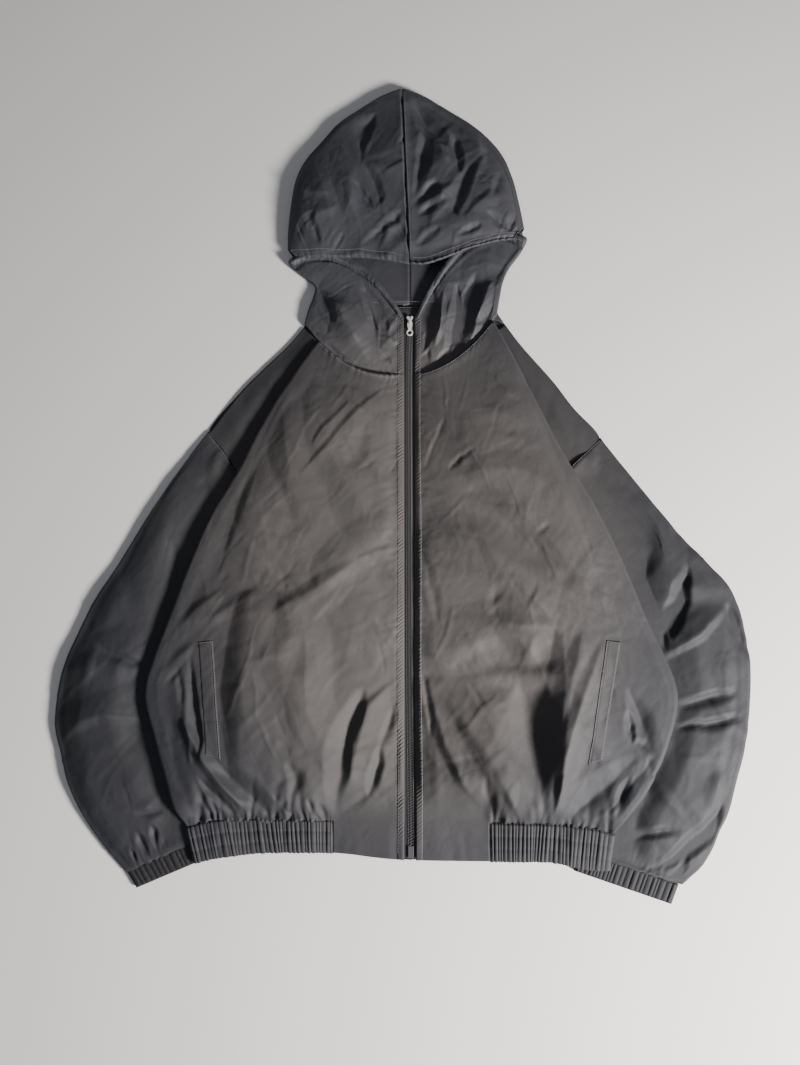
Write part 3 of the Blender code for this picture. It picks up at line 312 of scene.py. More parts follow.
def nylon(name, roughness, facets, crumple, yarns=1500.0, dark=1.0):
    """Thin woven nylon: colour from the painted light and shade and from the drift, relief from the
    weave and crumple.
    """
    material, shader = new_material(name)
    graph = Graph(material.node_tree)
    # Painted light and shade: the chest and belly get the lit colour, the rest the shaded one.
    fade = graph.add("ShaderNodeGroup", {"node_tree": PAINTED_LIGHT}, Reach=1.0)
    cool, warm = ((*[value * dark for value in dye_and_light], 1) for dye_and_light in (SHADED_DYE, LIT_DYE))
    dye_and_light = graph.add("ShaderNodeMix", {"data_type": "RGBA"},
                    i0=fade.outputs["Fade"], i6=cool, i7=warm)
    tone = graph.add("ShaderNodeGroup", {"node_tree": DRIFT}).outputs["Tone"]
    ramp = graph.add("ShaderNodeValToRGB", Fac=tone)
    for element, (place, grey) in zip(ramp.color_ramp.elements, ((0.25, 0.84), (0.75, 1.18))):
        element.position = place
        element.color = (grey, grey, grey, 1)
    colour = graph.add("ShaderNodeMix", {"data_type": "RGBA", "blend_type": "MULTIPLY"},
                       i0=1.0, i6=dye_and_light.outputs[2], i7=ramp.outputs["Color"])
    gloss = graph.add("ShaderNodeMapRange", Value=tone,
                      To_Min=roughness + 0.06, To_Max=roughness - 0.05)
    weave = graph.add("ShaderNodeGroup", {"node_tree": WEAVE}, Yarns=yarns)
    folds = graph.add("ShaderNodeGroup", {"node_tree": CRUMPLE}, Facets=facets)
    yarn_bump = graph.add("ShaderNodeBump", Height=weave.outputs["Height"],
                          Strength=0.18, Distance=0.0001)
    fold_bump = graph.add("ShaderNodeBump", Height=folds.outputs["Height"],
                          Normal=yarn_bump.outputs["Normal"], Strength=crumple, Distance=0.0035)
    graph.fill(shader, Base_Color=colour.outputs[2], Roughness=gloss.outputs["Result"],
               Normal=fold_bump.outputs["Normal"], Specular_IOR_Level=0.28)
    return material


# Lit and shaded copies of one cloth: the sleeves and shoulders are painted darker as painted shade,
# the casings darker still, partly for their duller doubled cloth and partly as painted shade
# between their ribs, and the hood's colour is raised to take back part of the painted shade that
# the falloff gives it.
BODY_CLOTH = nylon("body_nylon", 0.70, 45.0, 0.20)
HOOD_CLOTH = nylon("hood_nylon", 0.60, 50.0, 0.24, dark=1.42)
SLEEVE_CLOTH = nylon("sleeve_nylon", 0.66, 40.0, 0.20, dark=0.88)
CASING_CLOTH = nylon("casing_nylon", 0.72, 90.0, 0.30, dark=0.56)

# %% [markdown]
# ## Cloth as grids of points
# Every cut piece is a grid: rows run across the piece, from one edge to the other, and columns
# run along it. A few measured rows give the outline and the heights, and a smooth curve
# through them gives as many rows as the creases need. This keeps the outline exact, which a
# simulated drape would not, and each crease can be put where it belongs.
#
# Edges that lie on a fold are rolled: the grid goes on round a half circle and a little way
# back under itself, so the cloth looks doubled instead of cut off.

# %% Grid tools


def read_curve(values, at):
    """The values read smoothly at places between them, counted from the first."""
    ends = np.concatenate([2 * values[:1] - values[1:2], values, 2 * values[-1:] - values[-2:-1]])
    index = np.minimum(at.astype(int), len(values) - 2)
    t = (at - index).reshape(-1, *[1] * (values.ndim - 1))
    before, start, end, after = (ends[index + step] for step in range(4))
    bend = 2 * before - 5 * start + 4 * end - after
    twist = 3 * start - before - 3 * end + after
    return start + 0.5 * ((end - before) * t + bend * t**2 + twist * t**3)


def spline_rows(names, table, count):
    """The table read smoothly at count rows. Each name becomes a column of values."""
    rows = np.array(table, float)
    plan = [index for index, name in enumerate(names) if name[0] in "xy"]
    gaps = np.linalg.norm(np.diff(rows[:, plan], axis=0), axis=1)
    places = np.concatenate([[0], np.cumsum(gaps)])
    at = np.interp(np.linspace(0, places[-1], count), places, np.arange(len(rows)))
    values = read_curve(rows, at)
    return SimpleNamespace(**{name: values[:, k:k + 1] for k, name in enumerate(names)})


def smooth(t):
    """0 to 1 with level ends."""
    t = np.clip(t, 0, 1)
    return t * t * (3 - 2 * t)


def direction(run_x, run_y):
    """A run's length, and its direction as a unit vector."""
    length = np.hypot(run_x, run_y)
    return length, run_x / length, run_y / length


def rolled(edge_x, edge_y, out_x, out_y, top, bottom, lip, steps=9):
    """Columns that roll an edge round and back under."""
    radius = (top - bottom) / 2
    angles = np.radians(np.linspace(90, -90, steps + 1))[None, 1:]
    flat = radius * np.cos(angles) - radius
    z = bottom + radius + radius * np.sin(angles)
    z = np.where(angles < -1.5, bottom, z)
    bend = np.dstack([edge_x + out_x * flat, edge_y + out_y * flat, z])
    flat = -radius - lip * np.linspace(0, 1, 4)[None, 1:]
    back = np.dstack([edge_x + out_x * flat, edge_y + out_y * flat, bottom + 0 * flat])
    return np.concatenate([bend, back], axis=1)


def rolled_past(x, y, z, out_x, out_y, bottom, lip, steps=9):
    """The same for an edge that its roll reaches beyond, by half of what it drops."""
    return rolled(x + out_x * (z - bottom) / 2, y + out_y * (z - bottom) / 2,
                  out_x, out_y, z, bottom, lip, steps)


def grid_faces(rows, columns, wrap=False, start=0):
    """Faces between neighbouring rows and columns, as an array of corners."""
    row = start + np.arange(rows - 1)[:, None] * columns
    column = np.arange(columns if wrap else columns - 1)[None, :]
    low = row + column
    beside = row + (column + 1) % columns
    return np.dstack([low, beside, beside + columns, low + columns]).reshape(-1, 4)


def cloth(name, grids, material, turned, thickness=0.0005, wrap=False, weld=0.0):
    """One object from one or more grids of points, with a thin wall."""
    points = []
    faces = []
    count = 0
    for grid in grids:
        faces.append(grid_faces(*grid.shape[:2], wrap, count))
        points.append(grid.reshape(-1, 3))
        count += len(points[-1])
    faces = np.concatenate(faces)
    if turned:
        faces = faces[:, ::-1]
    piece = mesh_object(name, np.concatenate(points).tolist(), faces.tolist(), material)
    if weld:
        body = bmesh.new()
        body.from_mesh(piece.data)
        bmesh.ops.remove_doubles(body, verts=body.verts, dist=weld)
        body.to_mesh(piece.data)
        body.free()
    piece.data.shade_smooth()
    if thickness:
        wall = piece.modifiers.new("Wall", "SOLIDIFY")
        wall.thickness = thickness
        wall.offset = -1
    return piece


def settle(piece, *nodes, body="garment", slot="shell"):
    """Rides a piece on its body and puts it in the place of its plain solids."""
    area = sum(face.area for face in piece.data.polygons)
    size = np.ptp([vertex.co for vertex in piece.data.vertices], axis=0)
    print("%s: %d faces before its wall, area %.4f, size %.3f x %.3f"
          % (piece.name, len(piece.data.polygons), area, *size[:2]))
    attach(piece, body)
    if nodes:
        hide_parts(*nodes)


print("grid tools ready")

# %% [markdown]
# ## Creases
# Thin nylon makes two kinds of relief. Creases are single ridges and troughs with a sharp
# crest, a steep side and a long side. They come from how the jacket was handled, so each one is
# listed: its two ends, its bow, how far it reaches to either side and its height, in
# millimetres, and how round its crest is. Its numbers also seed a few small kinks and the place
# where it is widest, so no crease is ruled.
#
# Between them the cloth is never smooth: it keeps flat facets that meet in faint lines. A
# triangular grid of random heights, bent so that no line is straight, gives those.

# %% Creases and facets
CREASE = ("x0", "y0", "x1", "y1", "bow", "left", "right", "rise", "soft")


def crease_height(x, y, creases):
    """The height that the creases add. A crease runs from (x0, y0) to (x1, y1)."""
    total = np.zeros_like(x)
    for values in creases:
        c = SimpleNamespace(**dict(zip(CREASE, values)))
        run_x = (c.x1 - c.x0) * MM
        run_y = (c.y1 - c.y0) * MM
        length = math.hypot(run_x, run_y)
        from_x = x - c.x0 * MM
        from_y = y - c.y0 * MM
        rng = np.random.default_rng(int(abs(31 * c.x0 + 17 * c.y0 + c.x1)))
        t = (from_x * run_x + from_y * run_y) / length**2
        away = (run_x * from_y - run_y * from_x) / length - c.bow * MM * 4 * t * (1 - t)
        kinks = np.concatenate([[0], rng.uniform(-1, 1, 5), [0]]) * min(0.0022, 0.022 * length)
        away = away - np.interp(t, np.linspace(0, 1, 7), kinks)
        t = np.clip(t, 0, 1) ** rng.uniform(0.7, 1.45)
        fade = 1 - np.abs(2 * t - 1) ** 2.2
        extent = np.where(away > 0, c.left, c.right) * MM * (0.25 + 0.75 * fade)
        soft = 0.6 * c.soft
        far = (np.hypot(away / extent, soft) - soft) / (math.hypot(1, soft) - soft)
        total += c.rise * MM * fade * (1 - np.minimum(1, far)) ** 1.2
    return total


TILE = 61
LEAN = 0.577
STRETCH = 1.155


def facets(x, y, cell, seed):
    """Flat facets between random heights of -1 to 1, on a bent triangular grid."""
    rng = np.random.default_rng(seed)
    heights = rng.uniform(-1, 1, (TILE, TILE))
    turn = rng.uniform(0, math.tau, 6)
    x = x / cell
    y = y / cell
    bent_x = x + 0.42 * np.sin(1.3 * y + turn[0] + np.sin(0.9 * x + turn[1]))
    bent_y = y + 0.42 * np.sin(1.1 * x + turn[2] + np.sin(1.2 * y + turn[3]))
    angle = turn[4]
    across = bent_x * math.cos(angle) + bent_y * math.sin(angle)
    along = bent_y * math.cos(angle) - bent_x * math.sin(angle)
    u = across + along * LEAN + 200
    v = along * STRETCH + 200
    low_u = np.floor(u).astype(int)
    low_v = np.floor(v).astype(int)
    part_u = u - low_u
    part_v = v - low_v
    near = part_u + part_v < 1

    def corner(step_u, step_v):
        return heights[(low_u + step_u) % TILE, (low_v + step_v) % TILE]

    lower = corner(0, 0) * (1 - part_u - part_v) + corner(1, 0) * part_u + corner(0, 1) * part_v
    upper = corner(1, 1) * (part_u + part_v - 1) + corner(1, 0) * (1 - part_v)
    upper = upper + corner(0, 1) * (1 - part_u)
    return np.where(near, lower, upper)


def crumple(x, y, cell, height, seed):
    """Facets at three sizes."""
    coarse = facets(x, y, cell, seed)
    middle = facets(x, y, cell * 0.46, seed + 1)
    fine = facets(x, y, cell * 0.2, seed + 2)
    return height * (coarse + 0.34 * middle + 0.09 * fine)


def fold_lines(x, y, count, box, seed):
    """Sharp pressed lines of many lengths, most of them slanting."""
    rng = np.random.default_rng(seed)
    lines = []
    for _ in range(count):
        middle_x = rng.uniform(box[0], box[1])
        middle_y = rng.uniform(box[2], box[3])
        angle = rng.choice([0.75, 2.35]) + rng.normal(0, 0.38)
        half = rng.uniform(9, 42)
        rise = rng.choice([-1, 1], p=[0.4, 0.6]) * rng.uniform(0.35, 1.0)
        half_x = half * math.cos(angle)
        half_y = half * math.sin(angle)
        lines.append((middle_x - half_x, middle_y - half_y, middle_x + half_x, middle_y + half_y,
                      rng.normal(0, 2), rng.uniform(2.2, 5), rng.uniform(3, 12), rise, 0.05))
    return crease_height(x, y, lines)


def wave(along, pitch, seed):
    """An uneven wave of -1 to 1 along a seam, with crests about a pitch apart."""
    rng = np.random.default_rng(seed)
    turn = rng.uniform(0, math.tau, 4)
    bent = along + 0.35 * pitch * np.sin(along / pitch * 1.9 + turn[0])
    swing = 0.62 + 0.38 * np.sin(along / pitch * 0.83 + turn[1])
    return np.sin(bent / pitch * math.tau + turn[2]) * swing


print("creases have", len(CREASE), "values each")

# %% [markdown]
# ## Letting the cloth settle
# Creases that are only listed one by one stay apart from each other. Real cloth joins them up,
# because a wide piece is held in a smaller space and has to buckle somewhere. A short cloth
# simulation does that: a coarse copy of the grid is held at its edges, grows by a few percent
# where there is slack, and sinks onto a bed just under it. Only its movement is kept, and is
# added to the fine grid, so the sharp crests stay.

# %% Cloth simulation
CLOTH_LIMIT = 0.006
CLOTH_GAP = 0.0008
CLOTH_FRAMES = 20
BED_FLOOR = 0.002


def resampled(grid, rows, columns):
    """The grid read smoothly at another number of rows and columns."""
    for axis, count in ((0, rows), (1, columns)):
        grid = np.moveaxis(grid, axis, 0)
        grid = read_curve(grid, np.linspace(0, len(grid) - 1, count))
        grid = np.moveaxis(grid, 0, axis)
    return grid


def grid_object(name, grid):
    return mesh_object(name, grid.reshape(-1, 3).tolist(), grid_faces(*grid.shape[:2]).tolist())


def blurred(values, times):
    for _ in range(times):
        for axis in (0, 1):
            values = np.moveaxis(values, axis, 0)
            wide = np.concatenate([values[:1], values, values[-1:]])
            values = np.moveaxis((wide[:-2] + 2 * values + wide[2:]) / 4, 0, axis)
    return values


def settled(grid, slack, depth, rows, columns, keep, grow):
    """The grid after its cloth has settled. For each point, slack is 0 to 1, depth is how far
    below it the bed is, and keep is the share of the movement that it keeps. Grow is how much
    wider the cloth gets where slack is 1."""
    start = resampled(grid, rows, columns)
    depth = resampled(depth + 0 * grid[..., 0], rows, columns)
    room = np.clip(resampled(slack + 0 * grid[..., 0], rows, columns), 0, 1)
    bed = start.copy()
    bed[..., 2] = np.maximum(bed[..., 2] - depth, BED_FLOOR)
    bed = grid_object("bed", bed)
    bed.modifiers.new("Bed", "COLLISION")
    bed.collision.thickness_outer = CLOTH_GAP
    sheet = grid_object("sheet", start)
    index = np.arange(rows * columns).reshape(rows, columns)
    rim = np.unique(np.concatenate([index[0], index[-1], index[:, 0], index[:, -1]]))
    sheet.vertex_groups.new(name="held").add(rim.tolist(), 1.0, "REPLACE")
    grows = sheet.vertex_groups.new(name="slack")
    for step in range(1, 11):
        some = index[np.round(room * 10) == step].tolist()
        if some:
            grows.add(some, step / 10, "REPLACE")
    modifier = sheet.modifiers.new("Cloth", "CLOTH")
    for setting, value in (
        ("quality", 5), ("mass", 0.05), ("tension_stiffness", 30), ("compression_stiffness", 30),
        ("shear_stiffness", 12), ("bending_stiffness", 12.0), ("vertex_group_mass", "held"),
        ("vertex_group_shrink", "slack"), ("shrink_min", 0.0), ("shrink_max", -grow),
    ):
        setattr(modifier.settings, setting, value)
    modifier.collision_settings.distance_min = CLOTH_GAP
    modifier.collision_settings.use_self_collision = False
    for frame_number in range(1, CLOTH_FRAMES + 1):
        bpy.context.scene.frame_set(frame_number)
    graph = bpy.context.evaluated_depsgraph_get()
    result = np.empty(rows * columns * 3)
    sheet.evaluated_get(graph).data.vertices.foreach_get("co", result)
    moved = np.clip(result.reshape(rows, columns, 3) - start, -CLOTH_LIMIT, CLOTH_LIMIT)
    moved = blurred(moved, 1)
    moved[..., 2] -= 0.9 * blurred(moved[..., 2], 30)
    for shape in (sheet, bed):
        bpy.data.objects.remove(shape, do_unlink=True)
    bpy.context.scene.frame_set(1)
    return grid + resampled(moved, *grid.shape[:2]) * keep[..., None]


print("cloth settles for", CLOTH_FRAMES, "frames and moves up to", CLOTH_LIMIT)

# %% [markdown]
# ## Fronts
# A front runs from the zip to the side, where it folds under along the sleeve. Elastic pulls
# its hem in, so the cloth swells above the hem casing and rolls down steeply into the seam,
# with a gather at every rib. Beside the zip the hem isn't gathered, so there the front runs
# flat down to its lower edge.

# %% Heights and edges of the body
REST = 0.0054
SEAM = 0.0005
GAP = 0.0003
LAYER = 0.0015
BODY_LIFT = 0.0076
LIFT_RUN = 0.030
LIFT_CLEAR = 0.004
EDGE_LIP = 0.020
ZIP_EDGE = {"right": 0.0078, "left": 0.0060}
PLACKET_WIDTH = {"right": 0.0080, "left": 0.0076}
TAB_WIDTH = 0.0890
TAB_HEIGHT = 0.0064
CASING_LIFT = 0.0030

FRONT = ("y_in", "x_out", "y_out", "z_out", "z_lip", "rise", "bow", "s_pocket")
FRONTS = {
    "right": [
        (-0.2515, -0.2570, -0.2570, 0.0135, 0.0100, 0.0000, 0.000, 0.760),
        (-0.2350, -0.2720, -0.2360, 0.0215, 0.0096, 0.0050, 0.000, 0.755),
        (-0.2050, -0.2840, -0.2030, 0.0230, 0.0096, 0.0070, 0.000, 0.750),
        (-0.1650, -0.2990, -0.1600, 0.0220, 0.0096, 0.0060, 0.000, 0.737),
        (-0.1250, -0.3130, -0.1120, 0.0210, 0.0096, 0.0050, 0.000, 0.720),
        (-0.0800, -0.3050, -0.0700, 0.0205, 0.0096, 0.0045, 0.000, 0.757),
        (-0.0350, -0.2870, -0.0180, 0.0200, 0.0096, 0.0040, 0.000, 0.800),
        (0.0150, -0.2680, 0.0400, 0.0190, 0.0096, 0.0035, 0.000, 0.805),
        (0.0650, -0.2430, 0.1040, 0.0180, 0.0090, 0.0050, 0.000, 0.800),
        (0.1200, -0.2120, 0.1580, 0.0165, 0.0072, 0.0045, 0.000, 0.795),
        (0.1750, -0.1880, 0.2120, 0.0150, 0.0056, 0.0040, -0.003, 0.790),
        (0.2300, -0.1530, 0.2720, 0.0140, 0.0052, 0.0030, -0.010, 0.785),
        (0.2836, -0.1165, 0.3271, 0.0120, 0.0050, 0.0010, -0.0187, 0.780),
    ],
    "left": [
        (-0.2525, 0.2280, -0.2615, 0.0135, 0.0100, 0.0000, 0.000, 0.730),
        (-0.2350, 0.2450, -0.2430, 0.0215, 0.0096, 0.0050, 0.000, 0.727),
        (-0.2050, 0.2690, -0.2130, 0.0230, 0.0096, 0.0070, 0.000, 0.725),
        (-0.1650, 0.2910, -0.1680, 0.0220, 0.0096, 0.0060, 0.000, 0.700),
        (-0.1200, 0.3055, -0.1130, 0.0210, 0.0096, 0.0050, 0.000, 0.700),
        (-0.0750, 0.2910, -0.0600, 0.0205, 0.0096, 0.0045, 0.000, 0.783),
        (-0.0300, 0.2720, -0.0160, 0.0200, 0.0096, 0.0040, 0.000, 0.825),
        (0.0200, 0.2500, 0.0450, 0.0190, 0.0096, 0.0035, 0.000, 0.825),
        (0.0700, 0.2225, 0.1080, 0.0180, 0.0090, 0.0050, 0.000, 0.815),
        (0.1250, 0.1920, 0.1660, 0.0165, 0.0072, 0.0045, 0.000, 0.805),
        (0.1800, 0.1640, 0.2250, 0.0150, 0.0056, 0.0040, -0.003, 0.795),
        (0.2350, 0.1340, 0.2920, 0.0140, 0.0052, 0.0030, -0.009, 0.785),
        (0.2836, 0.1060, 0.3500, 0.0120, 0.0050, 0.0010, -0.0165, 0.780),
    ],
}
HEM_LINE = ("x", "y_top", "y_foot")
HEM_LINES = {
    "right": [
        (0.0000, -0.2530, -0.2960),
        (0.0400, -0.2530, -0.2930),
        (0.0700, -0.2530, -0.2895),
        (0.1000, -0.2525, -0.2878),
        (0.1400, -0.2520, -0.2875),
        (0.1700, -0.2515, -0.2883),
        (0.2000, -0.2515, -0.2912),
        (0.2300, -0.2535, -0.2957),
        (0.2600, -0.2610, -0.3040),
    ],
    "left": [
        (0.0000, -0.2540, -0.2955),
        (0.0600, -0.2540, -0.2958),
        (0.0900, -0.2540, -0.2957),
        (0.1200, -0.2543, -0.2952),
        (0.1500, -0.2548, -0.2948),
        (0.1700, -0.2552, -0.2970),
        (0.1900, -0.2570, -0.3010),
        (0.2100, -0.2600, -0.3030),
        (0.2300, -0.2650, -0.3032),
    ],
}
HEM_CORNERS = {"right": (0.2570, 0.2455), "left": (0.2275, 0.2205)}
RIBS = {"right": 36, "left": 32}
print("front tables:", {word: len(table) for word, table in FRONTS.items()})

# %% Creases of the fronts
FRONT_CREASES = {
    "right": [
        (-257, -62, -238, -186, 0, 3.5, 15, -6.5, 0.15),
        (-262, -100, -247, -190, 0, 6, 8, 3, 0.15),
        (-140, 30, -130, -235, 6, 40, 26, 2, 0.3),
        (-186, 10, -196, -226, 0, 105, 28, 8.5, 1.0),
        (-138, 290, -228, 20, 0, 110, 12, 3.5, 1.0),
        (-161, -17, -63, 46, -2, 14, 32, 4.5, 0.1),
        (-63, 47, -18, 67, 0, 5, 14, 1.6, 0.1),
        (-162, 28, -218, 93, 0, 14, 8, 1.5, 0.2),
        (-113, 18, -14, 105, 0, 30, 28, 4, 0.8),
        (-300, -68, -222, 12, 3, 9, 18, 3, 0.2),
        (-301, -101, -253, -51, 0, 10, 10, 2.5, 0.3),
        (-288, -101, -267, -81, 0, 5, 6, -2.5, 0.2),
        (-262, -126, -270, -83, 0, 6, 6, -2.5, 0.2),
        (-236, -29, -151, 16, 7, 8, 12, 1.5, 0.2),
        (-199, -77, -134, -61, 0, 8, 8, 1, 0.1),
        (-144, -86, -123, -45, 0, 18, 28, -2, 0.5),
        (-88, -250, -55, -103, 5, 22, 13, -9, 0.25),
        (-85, -250, -45, -220, 0, 8, 9, -7, 0.2),
        (-48, -228, -36, -167, 0, 8, 10, -7, 0.2),
        (-37, -169, -19, -117, 0, 6, 8, -3, 0.15),
        (-69, -208, -16, -92, 18, 8, 24, 4, 0.15),
        (-71, -193, -46, -200, 0, 4, 4, 1.5, 0.2),
        (-56, -246, -16, -214, 0, 4, 5, 1.2, 0.1),
        (-184, -247, -264, -136, 3, 9, 10, 8, 0.08),
        (-155, -249, -232, -188, -2, 14, 20, -9, 0.3),
        (-202, -245, -240, -201, 0, 8, 6, -6, 0.2),
        (-257, -254, -236, -233, 0, 6, 6, -4, 0.2),
        (-271, -221, -236, -234, 0, 8, 6, 2.5, 0.15),
        (-153, -243, -138, -229, 0, 7, 8, -5, 0.2),
        (-138, -229, -139, -186, -10, 10, 14, -4, 0.4),
        (-142, -239, -121, -249, 0, 4, 5, -4, 0.2),
        (-108, -245, -114, -228, 0, 4, 5, -4, 0.2),
        (-96, -248, -104, -232, 0, 5, 5, -5, 0.2),
        (-133, 150, -24, 269, 2, 7, 30, 2.5, 0.1),
        (-119, 186, -71, 246, 2, 6, 22, 2, 0.1),
        (-117, 171, -152, 203, 0, 8, 8, 1.2, 0.2),
        (-23, 126, -54, 178, 0, 8, 8, 1.2, 0.2),
        (-29, 152, -17, 168, 0, 3, 3, -1.5, 0.1),
        (-74, 158, -54, 212, 0, 16, 16, -2, 0.7),
        (-106, 264, -134, 293, 0, 8, 8, 1, 0.4),
        (-21, -47, -42, -21, 0, 6, 6, -1.8, 0.1),
        (-14, -60, -47, -30, 0, 5, 6, 1.5, 0.1),
    ],
    "left": [
        (126, 290, 214, 30, 0, 12, 110, 5, 1.0),
        (72, 70, 84, -130, 0, 62, 50, -8, 1.0),
        (198, -40, 166, -232, -6, 30, 16, 6, 0.12),
        (172, -20, 146, -234, -6, 20, 36, -11, 0.25),
        (246, -103, 276, -184, 0, 16, 14, -8, 0.12),
        (280, -172, 220, -238, 0, 12, 15, -8, 0.12),
        (201, 11, 31, 184, 5, 40, 20, -7, 0.5),
        (240, -19, 147, 75, 4, 12, 40, 3.5, 0.08),
        (198, 117, 76, 231, -5, 24, 24, -4, 0.8),
        (161, 84, 45, 228, 2, 30, 30, 3, 0.8),
        (48, 157, 81, 181, 3, 5, 6, -2.5, 0.1),
        (147, 75, 166, 88, 0, 4, 5, -2, 0.1),
        (113, -40, 106, 22, 8, 12, 20, -4, 0.3),
        (173, -41, 115, 31, -4, 10, 16, 3, 0.1),
        (112, -97, 42, -2, 0, 14, 10, 2, 0.08),
        (127, -253, 95, -32, -29, 48, 30, -13, 0.35),
        (162, -251, 223, -47, 9, 12, 30, 6, 0.08),
        (168, -251, 195, -205, 0, 8, 10, 3, 0.15),
        (161, -245, 172, -197, 0, 6, 6, 2.5, 0.15),
        (172, -254, 254, -178, 0, 22, 20, -10, 0.25),
        (229, -250, 244, -201, 2, 8, 10, -7, 0.2),
        (250, -162, 246, -127, 0, 8, 6, -6, 0.2),
        (272, -206, 267, -178, 0, 7, 6, -6, 0.2),
        (252, -161, 277, -173, 0, 6, 8, -5, 0.2),
        (90, -251, 30, -121, 10, 8, 22, 4.5, 0.08),
        (115, -237, 43, -117, -7, 16, 20, 5, 0.3),
        (91, -251, 86, -202, 0, 7, 8, -4, 0.2),
        (28, -165, 14, -81, -5, 5, 6, -4, 0.15),
        (59, -81, 17, -62, 0, 5, 6, 1.5, 0.1),
        (35, -27, 11, 62, -4, 10, 10, -3, 0.3),
        (98, -139, 70, -97, 0, 5, 6, -2, 0.15),
        (255, -16, 213, 31, 0, 4, 5, -2, 0.1),
        (238, -5, 182, 42, 0, 4, 7, -1.5, 0.1),
        (216, 35, 242, 33, 0, 5, 5, 1, 0.1),
        (221, -41, 183, -1, 0, 8, 6, 1.5, 0.1),
        (46, 230, 43, 290, 0, 5, 5, 1.2, 0.1),
        (18, 157, 44, 223, 0, 5, 10, -2, 0.1),
        (134, 243, 107, 284, 7, 8, 20, 3, 0.3),
        (29, -291, 32, -170, 0, 8, 8, 1.2, 0.5),
        (74, -276, 62, -231, 0, 8, 8, 1, 0.4),
        (16, -227, 64, -239, 0, 3, 3, -1, 0.1),
    ],
}
print("creases on the fronts:", {word: len(rows) for word, rows in FRONT_CREASES.items()})

# %% The hem's line and its uneven ribs
SLEEVE = ("x_in", "y_in", "x_out", "y_out", "z_low", "z_high", "z_out", "s_low", "arch")
SLEEVES = {
    "right": [
        (-0.2178, 0.0100, -0.2541, 0.2122, 0.0027, 0.0027, 0.0027, 0.60, 1.00),
        (-0.2210, -0.0180, -0.2860, 0.1650, 0.0035, 0.0085, 0.0050, 0.55, -0.80),
        (-0.2260, -0.0480, -0.3230, 0.1060, 0.0050, 0.0120, 0.0070, 0.50, -0.50),
        (-0.2300, -0.0760, -0.3610, 0.0400, 0.0066, 0.0150, 0.0080, 0.45, -0.20),
        (-0.2340, -0.1020, -0.3930, -0.0160, 0.0066, 0.0170, 0.0090, 0.45, 0.00),
        (-0.2370, -0.1280, -0.4160, -0.0780, 0.0066, 0.0180, 0.0090, 0.45, 0.00),
        (-0.2385, -0.1560, -0.4240, -0.1380, 0.0066, 0.0185, 0.0090, 0.42, 0.00),
        (-0.2380, -0.1850, -0.4130, -0.1820, 0.0066, 0.0185, 0.0090, 0.38, 0.00),
        (-0.2360, -0.2130, -0.3980, -0.2220, 0.0066, 0.0180, 0.0090, 0.33, 0.00),
        (-0.2320, -0.2360, -0.3750, -0.2600, 0.0066, 0.0160, 0.0080, 0.30, 0.00),
        (-0.2270, -0.2520, -0.3480, -0.2910, 0.0066, 0.0120, 0.0070, 0.36, 0.00),
        (-0.2225, -0.2635, -0.3280, -0.3095, 0.0066, 0.0066, 0.0060, 0.40, 0.00),
    ],
    "left": [
        (0.2140, 0.0100, 0.2343, 0.1978, 0.0027, 0.0027, 0.0027, 0.60, 1.00),
        (0.2150, -0.0180, 0.2700, 0.1480, 0.0035, 0.0085, 0.0050, 0.55, -0.80),
        (0.2190, -0.0460, 0.3100, 0.0930, 0.0050, 0.0120, 0.0070, 0.50, -0.50),
        (0.2220, -0.0720, 0.3500, 0.0450, 0.0066, 0.0130, 0.0088, 0.45, -0.20),
        (0.2250, -0.0960, 0.3800, 0.0060, 0.0066, 0.0138, 0.0100, 0.45, 0.00),
        (0.2270, -0.1200, 0.3925, -0.0450, 0.0066, 0.0140, 0.0100, 0.45, 0.00),
        (0.2280, -0.1460, 0.3920, -0.1020, 0.0066, 0.0142, 0.0100, 0.45, 0.00),
        (0.2260, -0.1750, 0.3840, -0.1560, 0.0066, 0.0142, 0.0100, 0.42, 0.00),
        (0.2210, -0.2060, 0.3690, -0.2080, 0.0066, 0.0140, 0.0100, 0.36, 0.00),
        (0.2120, -0.2360, 0.3520, -0.2530, 0.0066, 0.0140, 0.0090, 0.30, 0.00),
        (0.2010, -0.2610, 0.3270, -0.2960, 0.0066, 0.0120, 0.0070, 0.34, 0.00),
        (0.1900, -0.2810, 0.3030, -0.3165, 0.0066, 0.0066, 0.0060, 0.40, 0.00),
    ],
}
CUFFS = {
    "right": [(-0.2230, -0.2650, -0.3270, -0.3110), (-0.2130, -0.2865, -0.3145, -0.3285)],
    "left": [(0.1905, -0.2830, 0.2985, -0.3185), (0.1825, -0.3045, 0.2895, -0.3390)],
}


def hem_y(word, x, share):
    """The hem's height on plan, from its foot at share 0 to its seam at 1."""
    line = spline_rows(HEM_LINE, HEM_LINES[word], 60)
    foot = np.interp(np.abs(x), line.x[:, 0], line.y_foot[:, 0])
    top = np.interp(np.abs(x), line.x[:, 0], line.y_top[:, 0])
    return foot + (top - foot) * share


def sleeve_edge(word, y):
    """How far from the zip the sleeve's or cuff's inner edge is at this height."""
    line = [(row[1], abs(row[0])) for row in reversed(CUFFS[word])]
    line += [(row[1], abs(row[0])) for row in reversed(SLEEVES[word])]
    heights, edges = zip(*line)
    return np.interp(y, heights, edges)


def sleeve_climb(word, x, y):
    """0 over the floor, and up to 1 where the body lies on the sleeve's inner side."""
    over = sleeve_edge(word, y) - LIFT_CLEAR
    return smooth((np.abs(x) - over + LIFT_RUN) / LIFT_RUN)


def groove_places(rng, narrow, wide, count):
    """The grooves between uneven ribs, as shares of the elastic's length."""
    widths = rng.uniform(narrow, wide, count)
    return np.concatenate([[0], np.cumsum(widths)]) / widths.sum()


